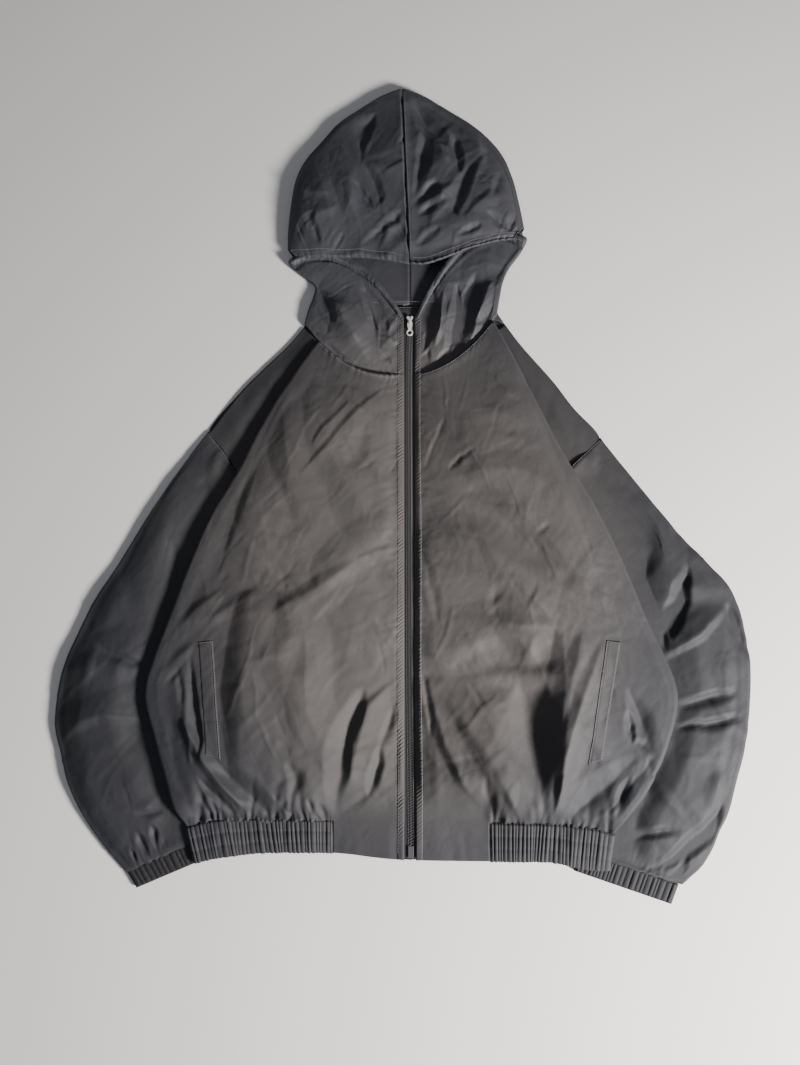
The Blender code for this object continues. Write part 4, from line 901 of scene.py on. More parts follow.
def rib_places(word):
    rng = np.random.default_rng(11 if word == "right" else 23)
    return groove_places(rng, 0.62, 1.38, RIBS[word])


def casing_height(word, x, y):
    """The casing's upper face before it's ribbed: over the back, and up onto the sleeve."""
    z = TAB_HEIGHT + CASING_LIFT * smooth((np.abs(x) - TAB_WIDTH) / 0.03)
    return z + (BODY_LIFT + 0.0050 - z) * sleeve_climb(word, x, y)


for word in SIDES:
    steps = np.diff(rib_places(word)) * (HEM_CORNERS[word][0] - TAB_WIDTH) * 1000
    print(word, "ribs from %.1f to %.1f mm wide" % (steps.min(), steps.max()))

# %% The fronts' surface
FRONT_ROWS = 202
TAB_COLUMNS = 50
SIDE_COLUMNS = 112
FRONT_EDGE_FADE = 0.045
ROLL_DOWN = 0.022
TAB_BLEND = 0.055


def gathers(word, x, height):
    """Troughs that run up from the grooves of the casing and fade out. Few are deep and long."""
    rng = np.random.default_rng(5 if word == "right" else 8)
    x_top = HEM_CORNERS[word][0]
    total = np.zeros_like(x)
    for place in rib_places(word)[1:-1]:
        middle = TAB_WIDTH + (x_top - TAB_WIDTH) * place
        big = rng.random() < 0.42
        length = rng.uniform(0.030, 0.075) if big else rng.uniform(0.008, 0.024)
        depth = rng.uniform(0.0026, 0.0048) if big else rng.uniform(0.0008, 0.0020)
        lean = rng.normal(0, 0.22)
        spread = rng.uniform(0.7, 1.5)
        up = np.clip(height / length, 0, 1)
        away = np.abs(x) - middle - lean * height
        width = (0.0022 if big else 0.0013) + 0.0042 * spread * up
        total -= depth * (1 - up) ** 1.2 * np.exp(-((away / width) ** 2))
    return total


def puckers(far, along, height, pitch, reach, seed):
    """Short folds that leave a stitched seam and fade out. far is the distance from it."""
    own = wave(along + 0.3 * far, pitch, seed)
    own = own + 0.6 * wave(along - 0.4 * far, pitch * 0.45, seed + 1)
    length = reach * (0.6 + 0.8 * np.abs(wave(along, pitch * 2.7, seed + 2)))
    return height * own * np.exp(-far / length)


def front_grid(word, side):
    """The front's outer face as a grid: rows from hem to neck, columns from zip to side."""
    rows = spline_rows(FRONT, FRONTS[word], FRONT_ROWS)
    zip_x = side * ZIP_EDGE[word]
    run_x = rows.x_out - zip_x
    run_y = rows.y_out - rows.y_in
    length, out_x, out_y = direction(run_x, run_y)
    radius = (rows.z_out - rows.z_lip) / 2
    share = 1 - radius / length
    tab = (TAB_WIDTH - ZIP_EDGE[word]) / (abs(rows.x_out[0, 0]) - radius[0, 0] - ZIP_EDGE[word])
    s = np.concatenate([
        np.linspace(0, tab, TAB_COLUMNS + 1)[:-1],
        np.linspace(tab, 1, SIDE_COLUMNS + 1),
    ])[None, :]
    x = zip_x + run_x * share * s
    y = rows.y_in + run_y * share * s + rows.bow * 4 * s * (1 - s)

    # The lowest row follows the hem, and the rows above it join in softly
    down = hem_y(word, x[:1], 1) + SEAM - y[:1]
    height = y - y[:1]
    y = y + down * (1 - smooth(height / 0.05))
    height = y - y[:1]

    climb = 1 - (1 - np.minimum(1, s / 0.45)) ** 2
    z = REST + (rows.z_out - REST) * climb + rows.rise * np.sin(math.pi * s)
    relief = crease_height(x, y, FRONT_CREASES[word])
    relief += crumple(x, y, 0.060, 0.0034, 31 if side < 0 else 47)
    relief += fold_lines(side * x, y, 85, (10, 300, -250, 340), 5 if side < 0 else 6)
    fade = smooth(s * length / 0.022) * (0.35 + 0.65 * smooth((1 - s) * length / FRONT_EDGE_FADE))
    fade = fade * smooth((y[-1:] - y) / 0.03)
    z = z + relief * fade
    beyond = np.maximum(0, s * length - PLACKET_WIDTH[word])
    z = z + puckers(beyond, y, 0.0006, 0.013, 0.012, 23) * smooth(beyond / 0.002)
    z = z + puckers(y[-1:] - y, x, 0.0006, 0.011, 0.010, 27) * smooth(beyond / 0.004)

    # Down to the flat tab beside the zip, and steeply down to the seam over the elastic
    tab_z = TAB_HEIGHT + 0 * z
    seam_z = casing_height(word, x, y[:1]) + 0.0006
    flat = tab_z + (z - tab_z) * smooth(height / TAB_BLEND)
    round_off = np.sqrt(1 - (1 - np.clip(height / ROLL_DOWN, 0, 1)) ** 2)
    full = seam_z + (z - seam_z) * round_off
    over = smooth((np.abs(x) - TAB_WIDTH + 0.008) / 0.030)
    z = flat + (full - flat) * over
    pulled = gathers(word, x, height) * smooth((np.abs(x) - TAB_WIDTH) / 0.006)
    z = z + pulled
    z = np.maximum(z, REST)
    # Between the gathers the cloth hangs over the seam
    hang = np.clip(1 + pulled / 0.0016, 0, 1) * over * smooth((1 - s) * length / 0.02)
    hang = hang * (0.5 + 0.5 * wave(x, 0.017, 33))
    y = y - 0.0042 * hang * (1 - np.clip(height / 0.022, 0, 1)) ** 2
    z = z + 0.0022 * hang * (1 - np.clip(height / 0.016, 0, 1)) ** 2
    top = np.dstack([x, y, z])

    # The cloth has most slack over the elastic, and none beside the zip
    slack = 0.30 + 0.70 * smooth((0.14 - height) / 0.12)
    slack = slack * smooth((s * length - 0.012) / 0.02)
    slack = slack * (1 - (1 - over) * smooth((0.06 - height) / 0.03))
    inside = np.minimum(s * length - 0.010, (1 - s) * length * 0.8)
    inside = np.minimum(inside, np.minimum(y[-1:] - y, height + 0.012 + 0.05 * (1 - over)))
    depth = 0.0004 + 0.0060 * smooth(inside / 0.040)
    keep = smooth(np.minimum((1 - s) * length / 0.020, s * length / 0.010))
    keep = keep * (1 - (1 - over) * smooth((0.050 - height) / 0.025))
    top = settled(top, slack, depth, 112, 72, keep, 0.022)
    top[..., 2] = np.maximum(top[..., 2], REST)
    lip = np.minimum(EDGE_LIP, 0.3 * length)
    return top, rolled_past(x[:, -1:], y[:, -1:], top[:, -1:, 2], out_x, out_y, rows.z_lip, lip)


fronts = {}
for word, side in SIDES.items():
    fronts[word] = front_grid(word, side)
    top = fronts[word][0]
    print(word, "front grid", top.shape[:2], "up to %.1f mm high" % (top[..., 2].max() * 1000))

# %% The hem casing, and the flat tab beside the zip
RIB_HEIGHT = 0.0029
HEM_THICK = 0.0022
CASING_COLUMNS = 8


def rib_profile(grooves, own, place):
    """0 in the grooves and up to 1 on the ribs, each with its own height."""
    index = np.clip(np.searchsorted(grooves, place, side="right") - 1, 0, len(grooves) - 2)
    part = np.clip((place - grooves[index]) / (grooves[index + 1] - grooves[index]), 0, 1)
    return own[index] * np.sqrt(np.sin(math.pi * part) + 1e-9)


def rib_wave(word, place):
    grooves = rib_places(word)
    own = np.random.default_rng(77).uniform(0.38, 1.0, len(grooves))
    return rib_profile(grooves, own, place)


def roll_foot(x, y, z, drop, lip):
    """Rows that roll the lowest row of a grid under."""
    roll = rolled(x.T, y.T, 0 * x.T, -1 + 0 * x.T, z.T, z.T - drop, lip, 6)
    return roll.transpose(1, 0, 2)


def tab_grid(word, top):
    """The front's lower end beside the zip, down to the hem's edge."""
    first = top[:1, :TAB_COLUMNS + 1]
    share = np.linspace(0.96, 0, 14)[:, None]
    x = first[..., 0] + 0 * share
    y = hem_y(word, x, share) + 0.0011 * (1 - share)
    z = TAB_HEIGHT + (first[..., 2] - TAB_HEIGHT) * share**2
    relief = crumple(x, y, 0.03, 0.0005, 91) * smooth((np.abs(x) - ZIP_EDGE[word]) / 0.02)
    z = z + relief * np.sin(math.pi * share) + 0.0004 * wave(x, 0.021, 3) * (1 - share)
    foot = roll_foot(x[-1:], y[-1:] - 0.0011, z[-1:], HEM_THICK, 0.008)
    return np.concatenate([first, np.dstack([x, y, z]), foot])[::-1]


def casing_grid(word, side):
    """The gathered casing, rolled under at its foot and at the side."""
    x_top, x_foot = HEM_CORNERS[word]
    share = np.array([
        1.012, 1.0, 0.985, 0.96, 0.92, 0.84, 0.74, 0.68, 0.64, 0.60,
        0.50, 0.40, 0.34, 0.30, 0.26, 0.18, 0.09, 0.0])[:, None]
    place = np.linspace(0, 1, RIBS[word] * CASING_COLUMNS + 1)[None, :]
    edge = x_foot + (x_top - x_foot) * share
    skew = 0.0016 * wave(place * 0.17, 0.034, 15) * (1 - share)
    x = side * (TAB_WIDTH + (edge - TAB_WIDTH) * place + skew * np.sin(math.pi * place))
    y = hem_y(word, x, share) + 0.0011 * (1 - share)
    y = y - 0.0011 * rib_wave(word, place) * (1 - share) ** 2
    z = casing_height(word, x, y)
    swell = 0.5 + 0.5 * np.sin(math.pi * np.clip(share, 0, 1))
    start = smooth((np.abs(x) - TAB_WIDTH) / 0.004)
    z = z + RIB_HEIGHT * rib_wave(word, place) * swell * start
    z = z + 0.0006 * wave(x, 0.019, 8) * np.sin(math.pi * np.clip(share, 0, 1))
    z = z - 0.0016 * smooth((share - 0.955) / 0.05) * start
    for row in (0.30, 0.64):
        z = z - 0.0007 * np.exp(-(((share - row - 0.02 * wave(x, 0.06, 4)) / 0.035) ** 2)) * start
    foot = roll_foot(x[-1:], y[-1:] - 0.0011, z[-1:], HEM_THICK, 0.010)
    grid = np.concatenate([np.dstack([x, y, z]), foot])
    end_z = grid[:, -1:, 2]
    drop = np.maximum(np.minimum(0.0040, end_z - 0.0078), 0.0006)
    end_x = grid[:, -1:, 0] + side * drop / 2
    end_y = grid[:, -1:, 1]
    end = rolled(end_x, end_y, side + 0 * end_x, 0 * end_x, end_z, end_z - drop, 0.004, 6)
    return np.concatenate([grid, end], axis=1)[::-1]


front_pieces = {}
for word, side in SIDES.items():
    top, roll = fronts[word]
    edge_x, edge_y, edge_z = (top[:, :1, axis] for axis in range(3))
    turned_in = rolled(edge_x - side * 0.0006, edge_y, -side + 0 * edge_x, 0 * edge_x, edge_z,
                       edge_z - 0.0012, 0.001, 4)
    front = np.concatenate([turned_in[:, ::-1], top, roll], axis=1)
    grids = [front, tab_grid(word, top), casing_grid(word, side)]
    piece = cloth(f"{word}_front", grids, BODY_CLOTH, side < 0, weld=0.000002)
    settle(piece, f"front_{word}", f"hem_front_{word}")
    front_pieces[word] = piece

# %% [markdown]
# ## Back and back hem
# The back is one piece from the hem to the neck. It lies flat on the floor in the middle and
# climbs over the sleeves at its sides, because the sleeves were folded in under it first.

# %% Back
BACK = ("x_right", "y_right", "x_left", "y_left", "bow", "lift")
BACK_ROWS = [
    (-0.2465, -0.2520, 0.2185, -0.2560, 0.000, 1.0),
    (-0.2600, -0.2200, 0.2540, -0.2220, 0.000, 1.0),
    (-0.2760, -0.1850, 0.2720, -0.1850, 0.000, 1.0),
    (-0.2900, -0.1400, 0.2840, -0.1400, 0.000, 1.0),
    (-0.2970, -0.1000, 0.2910, -0.1000, 0.000, 1.0),
    (-0.2870, -0.0620, 0.2790, -0.0620, 0.000, 1.0),
    (-0.2690, -0.0320, 0.2620, -0.0320, 0.000, 1.0),
    (-0.2460, -0.0120, 0.2390, -0.0120, 0.000, 1.0),
    (-0.2185, 0.0085, 0.2145, 0.0085, 0.000, 0.65),
    (-0.2145, 0.0160, 0.2105, 0.0160, 0.000, 0.0),
    (-0.2030, 0.0550, 0.1960, 0.0550, 0.000, 0.0),
    (-0.1990, 0.1000, 0.1880, 0.1000, 0.000, 0.0),
    (-0.2070, 0.1480, 0.1920, 0.1480, 0.000, 0.0),
    (-0.2320, 0.1880, 0.2130, 0.1780, 0.000, 0.0),
    (-0.2535, 0.2130, 0.2335, 0.1985, 0.000, 0.0),
    (-0.2160, 0.2630, 0.2030, 0.2370, 0.000, 0.0),
    (-0.1860, 0.2950, 0.1780, 0.2730, 0.005, 0.0),
    (-0.1560, 0.3250, 0.1420, 0.3180, 0.016, 0.0),
    (-0.1360, 0.3495, 0.1200, 0.3500, 0.0287, 0.0),
]


def joined(right, left):
    """One grid from two halves that start at the middle."""
    return np.concatenate([right[:, ::-1], left[:, 1:]], axis=1)


def back_grid():
    rows = spline_rows(BACK, BACK_ROWS, 92)
    halves = []
    for word, end_x in (("right", rows.x_right), ("left", rows.x_left)):
        share = np.linspace(0, 1, 52)[None, :] ** 0.85
        x = end_x * share
        chord = rows.x_left - rows.x_right
        s = (x - rows.x_right) / chord
        y = rows.y_right + (rows.y_left - rows.y_right) * s + rows.bow * 4 * s * (1 - s)
        down = hem_y(word, x[:1], 1) + SEAM - y[:1]
        y = y + down * (1 - smooth((y - y[:1]) / 0.05))
        climb = sleeve_climb(word, x, y)
        relief = np.maximum(0, crumple(x, y, 0.05, 0.0005, 61)) * smooth(1 - s * (1 - s) * 2)
        z = rows.lift * BODY_LIFT * climb + relief * (1 - climb)
        halves.append(np.dstack([x, y, z]))
    return joined(*halves)


back = cloth("whole_back", [back_grid()], BODY_CLOTH, True)
settle(back, "back")

# %% Back hem
HEM_BACK_CORNERS = {"right": (0.2460, 0.2390), "left": (0.2180, 0.2130)}


def back_hem_grid():
    halves = []
    share = np.linspace(0, 1, 9)[:, None]
    for word, side in SIDES.items():
        x_top, x_foot = HEM_BACK_CORNERS[word]
        end = x_foot + (x_top - x_foot) * share
        place = np.linspace(0, 1, 190)[None, :]
        x = side * end * place
        y = hem_y(word, x, share) - SEAM * share
        rib = 0.0011 * (1 - np.abs(wave(x, 0.0088, 14))) * np.sin(math.pi * share)
        halves.append(np.dstack([x, y, BODY_LIFT * sleeve_climb(word, x, y) + rib]))
    return joined(*halves)


back_hem = cloth("back_hem", [back_hem_grid()], CASING_CLOTH, True, 0.0009)
settle(back_hem, "hem_back")

# %% [markdown]
# ## Sleeves
# A sleeve leaves its armhole flat, swells to a soft tube and is gathered into its cuff. Its
# inner side lies under the body, so the creases all start where the body's edge holds it down.

# %% Sleeves
SLEEVE_CREASES = {
    "right": [
        (-387, -40, -316, -76, -7, 8, 10, -5.5, 0.25),
        (-410, -166, -313, -143, 17, 40, 8, 5.5, 0.08),
        (-320, -245, -287, -243, 0, 6, 9, -4.5, 0.2),
        (-304, -293, -314, -265, 0, 6, 7, -5, 0.25),
        (-292, -284, -298, -258, 0, 5, 6, -5, 0.25),
        (-324, -308, -343, -288, 0, 5, 6, -4.5, 0.2),
        (-314, -299, -320, -286, 0, 4, 4, -3.5, 0.2),
        (-377, -37, -351, 38, -9, 34, 20, 3, 0.3),
        (-393, -101, -377, -63, 0, 20, 16, 2, 0.5),
        (-373, -254, -354, -229, 0, 20, 16, 1.5, 0.5),
        (-245, 153, -236, 191, 2, 10, 12, 3, 0.3),
        (-248, 134, -259, 149, 0, 6, 6, -3, 0.2),
        (-221, 176, -251, 208, 0, 6, 8, -2.5, 0.15),
    ],
    "left": [
        (319, 10, 222, 100, 9, 22, 34, 4, 0.1),
        (345, 45, 306, 98, 0, 8, 8, -4.5, 0.15),
        (328, 44, 303, -48, 4, 9, 17, -12, 0.12),
        (283, 24, 299, -62, 0, 7, 13, -10, 0.12),
        (288, -72, 374, -4, -6, 34, 8, 8, 0.06),
        (370, -8, 394, -74, 0, 10, 13, -7, 0.12),
        (300, -126, 374, -107, 2, 6, 12, -7, 0.12),
        (297, -147, 380, -136, 0, 5, 9, -6.5, 0.12),
        (340, -112, 384, -162, 0, 14, 10, 3, 0.2),
        (266, -300, 350, -230, -10, 12, 15, -11, 0.12),
        (238, -272, 302, -261, 4, 7, 6, -5, 0.12),
        (318, -318, 358, -260, -4, 10, 12, -8, 0.12),
        (298, -312, 306, -284, 0, 5, 6, -5, 0.12),
        (258, -190, 306, -246, 0, 12, 10, 3, 0.12),
        (218, 152, 228, 183, 0, 8, 6, 3, 0.12),
        (350, -196, 336, -240, 0, 12, 16, 3, 0.12),
    ],
}
ARMHOLES = {
    "right": [
        (-0.2145, 0.0160),
        (-0.2030, 0.0550),
        (-0.1990, 0.1000),
        (-0.2070, 0.1480),
        (-0.2320, 0.1880),
        (-0.2535, 0.2130),
    ],
    "left": [
        (0.2105, 0.0160),
        (0.1960, 0.0550),
        (0.1830, 0.1050),
        (0.1870, 0.1565),
        (0.2130, 0.1806),
        (0.2335, 0.1992),
    ],
}
SLEEVE_LIP = 0.008
CUFF_SEAM_Z = 0.0062


def armhole_bulge(word, s):
    """How far the armhole seam is from a straight line, s from the underarm upwards."""
    points = np.array(ARMHOLES[word])
    lengths = np.concatenate([[0], np.cumsum(np.linalg.norm(np.diff(points, axis=0), axis=1))])
    return [np.interp(s * lengths[-1], lengths, line) - (line[0] + (line[-1] - line[0]) * s)
            for line in points.T]


def sleeve_grids(word, side):
    rows = spline_rows(SLEEVE, SLEEVES[word], 150)
    share = np.linspace(0, 1, 96)[None, :]
    length = np.hypot(rows.x_out - rows.x_in, rows.y_out - rows.y_in)
    last = 1 - rows.z_out / 2 / length
    s = last * share
    bulge_x, bulge_y = armhole_bulge(word, s)
    x = rows.x_in + (rows.x_out - rows.x_in) * s + bulge_x * rows.arch
    y = rows.y_in + (rows.y_out - rows.y_in) * s + bulge_y * rows.arch

    swell = smooth((share - rows.s_low) / 0.22)
    z = rows.z_low + (rows.z_high - rows.z_low) * swell
    z = z + (rows.z_out - rows.z_high) * smooth((share - 0.82) / 0.18) * swell
    relief = crease_height(x, y, SLEEVE_CREASES[word])
    relief += crumple(x, y, 0.055, 0.0026, 131 if side < 0 else 147)
    relief += fold_lines(side * x, y, 60, (200, 430, -300, 200), 11 if side < 0 else 12)
    fade = smooth((share - rows.s_low + 0.05) / 0.15)
    fade = fade * (0.60 + 0.40 * smooth((1 - share) * length / 0.012))
    z = z + relief * fade

    # Gathered into the cuff
    cuff = CUFFS[word][0]
    from_x = x - cuff[0]
    from_y = y - cuff[1]
    run_x = cuff[2] - cuff[0]
    run_y = cuff[3] - cuff[1]
    run = math.hypot(run_x, run_y)
    along = (from_x * run_x + from_y * run_y) / run
    above = np.abs(run_x * from_y - run_y * from_x) / run
    fan = along / run + 0.25 * (along / run - 0.5) * np.clip(above / 0.05, 0, 1)
    rng = np.random.default_rng(3 if side < 0 else 4)
    for place in np.linspace(0.04, 0.97, 20) + rng.uniform(-0.012, 0.012, 20):
        reach = 0.010 + 0.034 * rng.random() ** 1.6
        up = np.clip(above / reach, 0, 1)
        width = 0.010 + 0.016 * up * rng.uniform(0.5, 1.4)
        dip = rng.uniform(0.0010, 0.0026) * (1 - up) ** 1.3
        z = z - dip * np.exp(-(((fan - place) / width) ** 2)) * swell
    drop = np.sqrt(1 - (1 - np.clip(above / 0.014, 0, 1)) ** 2)
    z = CUFF_SEAM_Z + (z - CUFF_SEAM_Z) * np.where(swell > 0, drop, 1)
    z = np.maximum(z, np.minimum(rows.z_low, rows.z_high) + 0 * z)
    hang = 0.0042 * (0.75 + 0.25 * wave(along, 0.014, 35)) * (1 - np.clip(above / 0.022, 0, 1)) ** 2
    sign = np.sign(run_x * from_y[-1, 0] - run_y * from_x[-1, 0])
    x = x + sign * run_y / run * hang
    y = y - sign * run_x / run * hang
    top = np.dstack([x, y, z])
    inside = np.minimum((1 - share) * length, above)
    depth = 0.0004 + 0.0062 * smooth(inside / 0.030) * smooth((share - rows.s_low) / 0.2)
    slack = smooth(inside / 0.012) * smooth((share - rows.s_low + 0.05) / 0.15)
    keep = smooth((1 - share) * length / 0.020) * smooth(share / 0.05) + 0 * z
    top = settled(top, slack, depth, 96, 64, keep, 0.022)
    top[..., 2] = np.maximum(top[..., 2], np.minimum(rows.z_low, rows.z_high))

    inner = np.gradient(top[:, 0, :2], axis=0)
    inner = inner / np.linalg.norm(inner, axis=1)[:, None]
    out_x = -inner[:, 1:2] * -side
    out_y = inner[:, 0:1] * -side
    if (out_x * side > 0).mean() > 0.5:
        out_x, out_y = -out_x, -out_y
    low = top[:, :1, 2]
    start = rolled_past(top[:, :1, 0], top[:, :1, 1], low, out_x, out_y, 0 * low, SLEEVE_LIP, 8)
    _, ahead_x, ahead_y = direction(x[:, -1:] - x[:, -4:-3], y[:, -1:] - y[:, -4:-3])
    high = top[:, -1:, 2]
    end = rolled_past(x[:, -1:], y[:, -1:], high, ahead_x, ahead_y, 0 * high, SLEEVE_LIP)
    upper = np.concatenate([start[:, ::-1], top, end], axis=1)

    first = start[:, -1]
    final = end[:, -1]
    part = np.linspace(0, 1, 12)[None, :]
    bulge_x, bulge_y = armhole_bulge(word, part)
    arch = rows.arch**3
    under_x = first[:, 0:1] + (final[:, 0:1] - first[:, 0:1]) * part + bulge_x * arch
    under_y = first[:, 1:2] + (final[:, 1:2] - first[:, 1:2]) * part + bulge_y * arch
    under = np.dstack([under_x, under_y, 0 * under_x])
    return upper, under


sleeve_pieces = {}
for word, side in SIDES.items():
    upper, under = sleeve_grids(word, side)
    piece = cloth(f"{word}_sleeve", [upper], SLEEVE_CLOTH, side > 0)
    settle(piece, f"sleeve_{word}")
    sleeve_pieces[word] = piece
    lower = cloth(f"{word}_sleeve_underside", [under], SLEEVE_CLOTH, side < 0)
    settle(lower, f"sleeve_{word}_under")

# %% [markdown]
# ## Dropping points onto cloth
# Shoulders, plackets, welts and stitches lie on pieces that have swollen and settled. Their
# points are dropped from above onto the finished piece, so they follow every crease of it.

# %% Dropping points onto cloth
from mathutils.bvhtree import BVHTree

TREES = {}


def heights_over(piece, x, y, missed=REST):
    """The height of a piece's upper face below each point."""
    if piece.name not in TREES:
        TREES[piece.name] = BVHTree.FromObject(piece, bpy.context.evaluated_depsgraph_get())
    z = np.zeros(x.size)
    for index, (px, py) in enumerate(zip(x.ravel(), y.ravel())):
        place, _, _, _ = TREES[piece.name].ray_cast(Vector((px, py, 0.1)), Vector((0, 0, -1)))
        z[index] = place.z if place else missed
    return z.reshape(x.shape)


print("pieces are read from 0.1 above the floor")

# %% [markdown]
# ## Shoulders
# Each front folds back under itself along its outer edge and shows again on the shoulder.

# %% Shoulders
SHOULDER = ("x_in", "y_in", "x_out", "y_out")
SHOULDERS = {
    "right": [
        (-0.1970, 0.1520, -0.2515, 0.2125),
        (-0.1680, 0.2000, -0.2150, 0.2625),
        (-0.1460, 0.2430, -0.1850, 0.2945),
        (-0.1180, 0.2900, -0.1555, 0.3240),
        (-0.1010, 0.3110, -0.1355, 0.3485),
    ],
    "left": [
        (0.1770, 0.1470, 0.2320, 0.1975),
        (0.1500, 0.2050, 0.2020, 0.2365),
        (0.1280, 0.2550, 0.1770, 0.2725),
        (0.1090, 0.2990, 0.1415, 0.3170),
        (0.0940, 0.3260, 0.1190, 0.3480),
    ],
}
SHOULDER_START = 0.142
LAPPED = 7
shoulder_edges = {}
for word, side in SIDES.items():
    rows = spline_rows(SHOULDER, SHOULDERS[word], 60)
    s = np.linspace(0, 1, 34)[None, :]
    x = rows.x_in + (rows.x_out - rows.x_in) * s
    y = rows.y_in + (rows.y_out - rows.y_in) * s
    reach = np.linspace(0, 1, LAPPED + 1)[:-1, None] ** 0.7
    hole = np.array(ARMHOLES[word])
    hole_y = SHOULDER_START + (hole[-1, 1] - SHOULDER_START) * s[0]
    hole_x = np.interp(hole_y, hole[:, 1], hole[:, 0])
    more_x = hole_x + side * 0.0016 + (x[:1] - hole_x - side * 0.0016) * reach
    more_y = hole_y - 0.0012 + (y[:1] - hole_y + 0.0012) * reach
    x = np.concatenate([more_x, x])
    y = np.concatenate([more_y, y])
    z = LAYER + 0.0012 + 0.0020 * np.sin(math.pi * smooth((s - 0.35) / 0.65)) + 0 * x
    z = z + np.maximum(-0.0004, crumple(x, y, 0.03, 0.0012, 71)) * np.sin(math.pi * s)
    on_sleeve = heights_over(sleeve_pieces[word], x[:LAPPED], y[:LAPPED], missed=0)
    seam_z = on_sleeve + 0.0006
    lapped = seam_z + np.maximum(z[:LAPPED] - seam_z, 0) * smooth(reach)
    z[:LAPPED] = np.where(on_sleeve > 0, lapped, z[:LAPPED])
    z[:1] = np.where(on_sleeve[:1] > 0, on_sleeve[:1] - 0.0002, z[:1] - 0.0010)
    piece = cloth(f"{word}_shoulder", [np.dstack([x, y, z])], SLEEVE_CLOTH, side < 0)
    settle(piece, f"front_{word}_shoulder")
    shoulder_edges[word] = np.column_stack([x[0], y[0]])

# %% [markdown]
# ## Cuffs
# A cuff is a short tube over elastic. It lies flattened, ribbed above and nearly plain below.

# %% Cuffs
CUFF_HEIGHT = 0.0055
CUFF_RIBS = {"right": 18, "left": 22}


def cuff_grid(word, side):
    seam, hand = CUFFS[word]
    share = np.linspace(0, 1, 14)[:, None]
    start = np.array(seam[:2]) + (np.array(hand[:2]) - np.array(seam[:2])) * share
    end = np.array(seam[2:]) + (np.array(hand[2:]) - np.array(seam[2:])) * share
    out = end - start
    out = out / np.linalg.norm(out, axis=1)[:, None]
    radius = CUFF_HEIGHT / 2
    near_x, near_y = (start[:, axis:axis + 1] + out[:, axis:axis + 1] * radius for axis in (0, 1))
    far_x, far_y = (end[:, axis:axis + 1] - out[:, axis:axis + 1] * radius for axis in (0, 1))
    band = np.sin(math.pi * np.clip(share, 0, 1)) ** 0.5
    rng = np.random.default_rng(19 if side < 0 else 29)
    grooves = groove_places(rng, 0.6, 1.4, CUFF_RIBS[word])
    own = rng.uniform(0.6, 1.0, len(grooves))

    def flat(s, z):
        return np.dstack([near_x + (far_x - near_x) * s, near_y + (far_y - near_y) * s, z])

    def fold(x, y, turn, angles):
        return np.dstack([
            x + turn * out[:, :1] * radius * np.cos(angles),
            y + turn * out[:, 1:] * radius * np.cos(angles),
            radius + radius * np.sin(angles) + 0 * x,
        ])

    s = np.linspace(0, 1, CUFF_RIBS[word] * 8 + 1)[None, :]
    rib = 0.0019 * rib_profile(grooves, own, s) * (0.45 + 0.55 * band)
    back_s = np.linspace(1, 0, 80)[None, :]
    rise = 0.0006 * (1 - np.abs(np.sin(back_s * CUFF_RIBS[word] * math.pi))) * band
    angles = np.radians(np.linspace(60, -60, 5))[None, :]
    return np.concatenate([
        flat(s, CUFF_HEIGHT - 0.0006 + rib), fold(far_x, far_y, 1, angles),
        flat(back_s, rise), fold(near_x, near_y, -1, angles[:, ::-1]),
    ], axis=1)


for word, side in SIDES.items():
    grid = cuff_grid(word, side)
    piece = cloth(f"{word}_cuff", [grid], CASING_CLOTH, side > 0, 0.0012, wrap=True)
    settle(piece, f"cuff_{word}")

# %% [markdown]
# ## Hood
# The hood lies folded flat: its back is on the floor, its crown lies over that, and its front
# edge shows the face opening between them. The crown swells because the cloth is doubled over
# air, and its seam runs up the middle.

# %% Hood tables
CROWN = ("x_in", "y_in", "x_out", "y_out", "z_in", "z_out", "rise")
CROWNS = {
    "right": [
        (-0.0002, 0.4275, -0.0106, 0.6830, 0.0185, 0.0120, 0.0085),
        (-0.0220, 0.4320, -0.0380, 0.6720, 0.0185, 0.0120, 0.0092),
        (-0.0440, 0.4360, -0.0660, 0.6540, 0.0180, 0.0120, 0.0106),
        (-0.0650, 0.4385, -0.0940, 0.6330, 0.0175, 0.0120, 0.0124),
        (-0.0870, 0.4390, -0.1190, 0.6030, 0.0170, 0.0120, 0.0142),
        (-0.1080, 0.4395, -0.1380, 0.5790, 0.0165, 0.0120, 0.0140),
        (-0.1260, 0.4400, -0.1500, 0.5500, 0.0160, 0.0120, 0.0115),
        (-0.1360, 0.4405, -0.1560, 0.5100, 0.0158, 0.0120, 0.0070),
        (-0.1440, 0.4420, -0.1582, 0.4780, 0.0155, 0.0120, 0.0015),
        (-0.1490, 0.4435, -0.1580, 0.4550, 0.0152, 0.0120, 0.0005),
    ],
    "left": [
        (0.0002, 0.4275, -0.0094, 0.6830, 0.0185, 0.0120, 0.0085),
        (0.0200, 0.4260, 0.0210, 0.6690, 0.0185, 0.0120, 0.0092),
        (0.0400, 0.4320, 0.0500, 0.6490, 0.0180, 0.0120, 0.0106),
        (0.0580, 0.4390, 0.0790, 0.6280, 0.0175, 0.0120, 0.0124),
        (0.0770, 0.4470, 0.1050, 0.6030, 0.0170, 0.0120, 0.0142),
        (0.0950, 0.4520, 0.1240, 0.5750, 0.0165, 0.0120, 0.0140),
        (0.1110, 0.4560, 0.1360, 0.5400, 0.0160, 0.0120, 0.0110),
        (0.1240, 0.4580, 0.1430, 0.5040, 0.0158, 0.0120, 0.0065),
        (0.1330, 0.4590, 0.1475, 0.4760, 0.0155, 0.0120, 0.0010),
    ],
}
NECK = ("y_in", "x_out", "y_out", "z_out", "rise", "bow")
